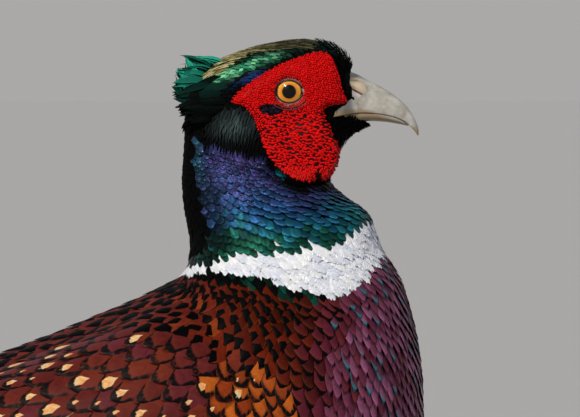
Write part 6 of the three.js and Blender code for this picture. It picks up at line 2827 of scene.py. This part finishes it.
@dataclass(frozen=True)
class HornFinish:
    """Solid horn of a claw or spur, grown lengthwise: dark, streaked and fairly glossy."""

    name: str
    low: str
    high: str
    roughness: float = 0.32
    streak: float = 1.11

    def dress(self) -> Material:
        """Write the material.

        Returns:
            The material.
        """
        made, g = blank(self.name)
        place = g.add("ShaderNodeTexCoord").node.outputs["Object"]
        streak = g.add(NOISE, g.add("ShaderNodeMapping", place, inputs={"Scale": (0.3, 1.0, 1.0)}),
                       inputs={"Scale": per(self.streak), "Detail": 4.0})
        colour = g.add(RAMP, streak, stops=((0.35, self.low), (0.65, self.high)))
        bump = g.add(BUMP, inputs={"Strength": 0.2, "Distance": 0.0001, "Height": streak})
        g.add(OUTPUT, g.add(PRINCIPLED, inputs={
            "Base Color": colour, "Roughness": self.roughness, "IOR": 1.54, "Normal": bump}))
        return made


# Studio


@dataclass(frozen=True)
class StudioPaint:
    """Matt paint on the studio's floor, rolled on: pale, without gloss and faintly cloudy."""

    name: str = "matt_studio_paint"
    colour: str = "#B9BABC"
    darker: str = "#B0B1B3"
    cloud: float = 333.0

    def dress(self) -> Material:
        """Write the material.

        Returns:
            The material.
        """
        made, g = blank(self.name)
        place = g.add("ShaderNodeTexCoord").node.outputs["Object"]
        cloud = g.add(NOISE, place, inputs={"Scale": per(self.cloud), "Detail": 2.0})
        colour = g.add(MIX, g.add(RANGE, cloud, 0.3, 0.7, 0.0, 0.08), linear(self.colour),
                       linear(self.darker))
        g.add(OUTPUT, g.add(PRINCIPLED, inputs={"Base Color": colour, "Roughness": 0.9,
                                                "Specular IOR Level": 0.1}))
        return made


@dataclass(frozen=True)
class Lamp:
    """A soft lamp: where it stands from the bird, its softness in degrees, power and tint."""

    name: str
    way: Tuple[float, float, float]
    soft: float
    power: float
    tint: str


@dataclass
class Studio:
    """A pale floor, soft lights and the camera, which looks at the bird's right side."""

    aim: Tuple[float, float, float] = (0.3, 0.0, 305.8)
    distance: float = 2000.0
    frame_width: float = 193.3
    elevation: float = 2.0
    floor_reach: float = 20.0
    wall_low: str = "#ABA9A8"
    wall_high: str = "#7C8084"
    film: float = 36.0
    lamps: Tuple[Lamp, ...] = (
        Lamp("key", (-0.42, -0.74, 0.62), 12.0, 3.0, "#FFF6EA"),
        Lamp("fill", (0.85, -0.5, 0.3), 60.0, 0.22, "#F2F6FF"),
        Lamp("rim", (-0.5, 0.7, 0.75), 40.0, 0.12, "#E6EEFF"))

    @property
    def target(self) -> Vector:
        """Return the point that the camera and the lamps are turned to, in metres."""
        return Vector(self.aim) * MM + Vector(SHIFT) * MM

    def floor(self) -> None:
        """Lay the floor."""
        size = self.floor_reach
        points = np.array([(-size, -size, 0), (size, -size, 0), (size, size, 0),
                           (-size, size, 0)]) / MM - SHIFT
        mesh = Shape(points, [np.array([[0, 1, 2, 3]])]).mesh("floor")
        mesh.materials.append(StudioPaint().dress())
        floor = bpy.data.objects.new("floor", mesh)
        bpy.context.scene.collection.objects.link(floor)

    def wall(self) -> None:
        """Set the world behind, which meets the floor in one tone and darkens upwards."""
        world = bpy.data.worlds.new("studio")
        world.use_nodes = True
        world.node_tree.nodes.clear()
        sky = Graph(world.node_tree)
        rise = sky.add(SPLIT, sky.add("ShaderNodeTexCoord").node.outputs[0])
        tone = sky.add(RAMP, rise.node.outputs[2], stops=(
            (0.06, self.wall_low), (0.5, self.wall_high)))
        sky.add("ShaderNodeOutputWorld", sky.add("ShaderNodeBackground", tone, 1.0))
        bpy.context.scene.world = world

    def light(self) -> None:
        """Hang the lamps."""
        for lamp in self.lamps:
            data = bpy.data.lights.new(lamp.name, "SUN")
            data.angle, data.energy = math.radians(lamp.soft), lamp.power
            data.color = linear(lamp.tint)[:3]
            made = bpy.data.objects.new(lamp.name, data)
            away = Vector(lamp.way).normalized()
            made.location = self.target + away * 3
            made.rotation_euler = away.to_track_quat("Z", "Y").to_euler()
            bpy.context.scene.collection.objects.link(made)

    def camera(self) -> None:
        """Stand the camera in its place."""
        glass = bpy.data.cameras.new("camera")
        glass.sensor_width = self.film
        glass.lens = self.film * self.distance / self.frame_width
        glass.clip_end = 100.0
        made = bpy.data.objects.new("camera", glass)
        lift = math.radians(self.elevation)
        away = Vector((0.0, -math.cos(lift), math.sin(lift)))
        made.location = self.target + away * self.distance * MM
        made.rotation_euler = away.to_track_quat("Z", "Y").to_euler()
        bpy.context.scene.collection.objects.link(made)
        bpy.context.scene.camera = made

    def build(self) -> None:
        """Make the studio."""
        self.floor()
        self.wall()
        self.light()
        self.camera()
        bpy.context.scene.view_settings.view_transform = "Standard"


def main() -> None:
    """Build the bird and its studio."""
    logging.basicConfig(level=logging.INFO, format="%(message)s")
    Studio().build()
    lie = body_lie()
    legs = [Leg(1, "left", 12.0), Leg(-1, "right", -6.0)]
    Skin(lie, legs).build()
    BodyCoat(lie).build()
    Tufts(lie).build()
    Bill().build()
    Face(lie).build()
    Wing(lie).build()
    Tail().build()
    scale = ScaleFinish().dress()
    nail = HornFinish("dark_claw_horn", "#1C1612", "#3E342C").dress()
    spur = HornFinish("brown_spur_horn", "#3A2E24", "#6E5C48").dress()
    down = BELLY_DULL.dress()
    for leg in legs:
        leg.build(scale, nail, spur, down)
    LOG.info("all pieces made")


if __name__ == "__main__":
    main()
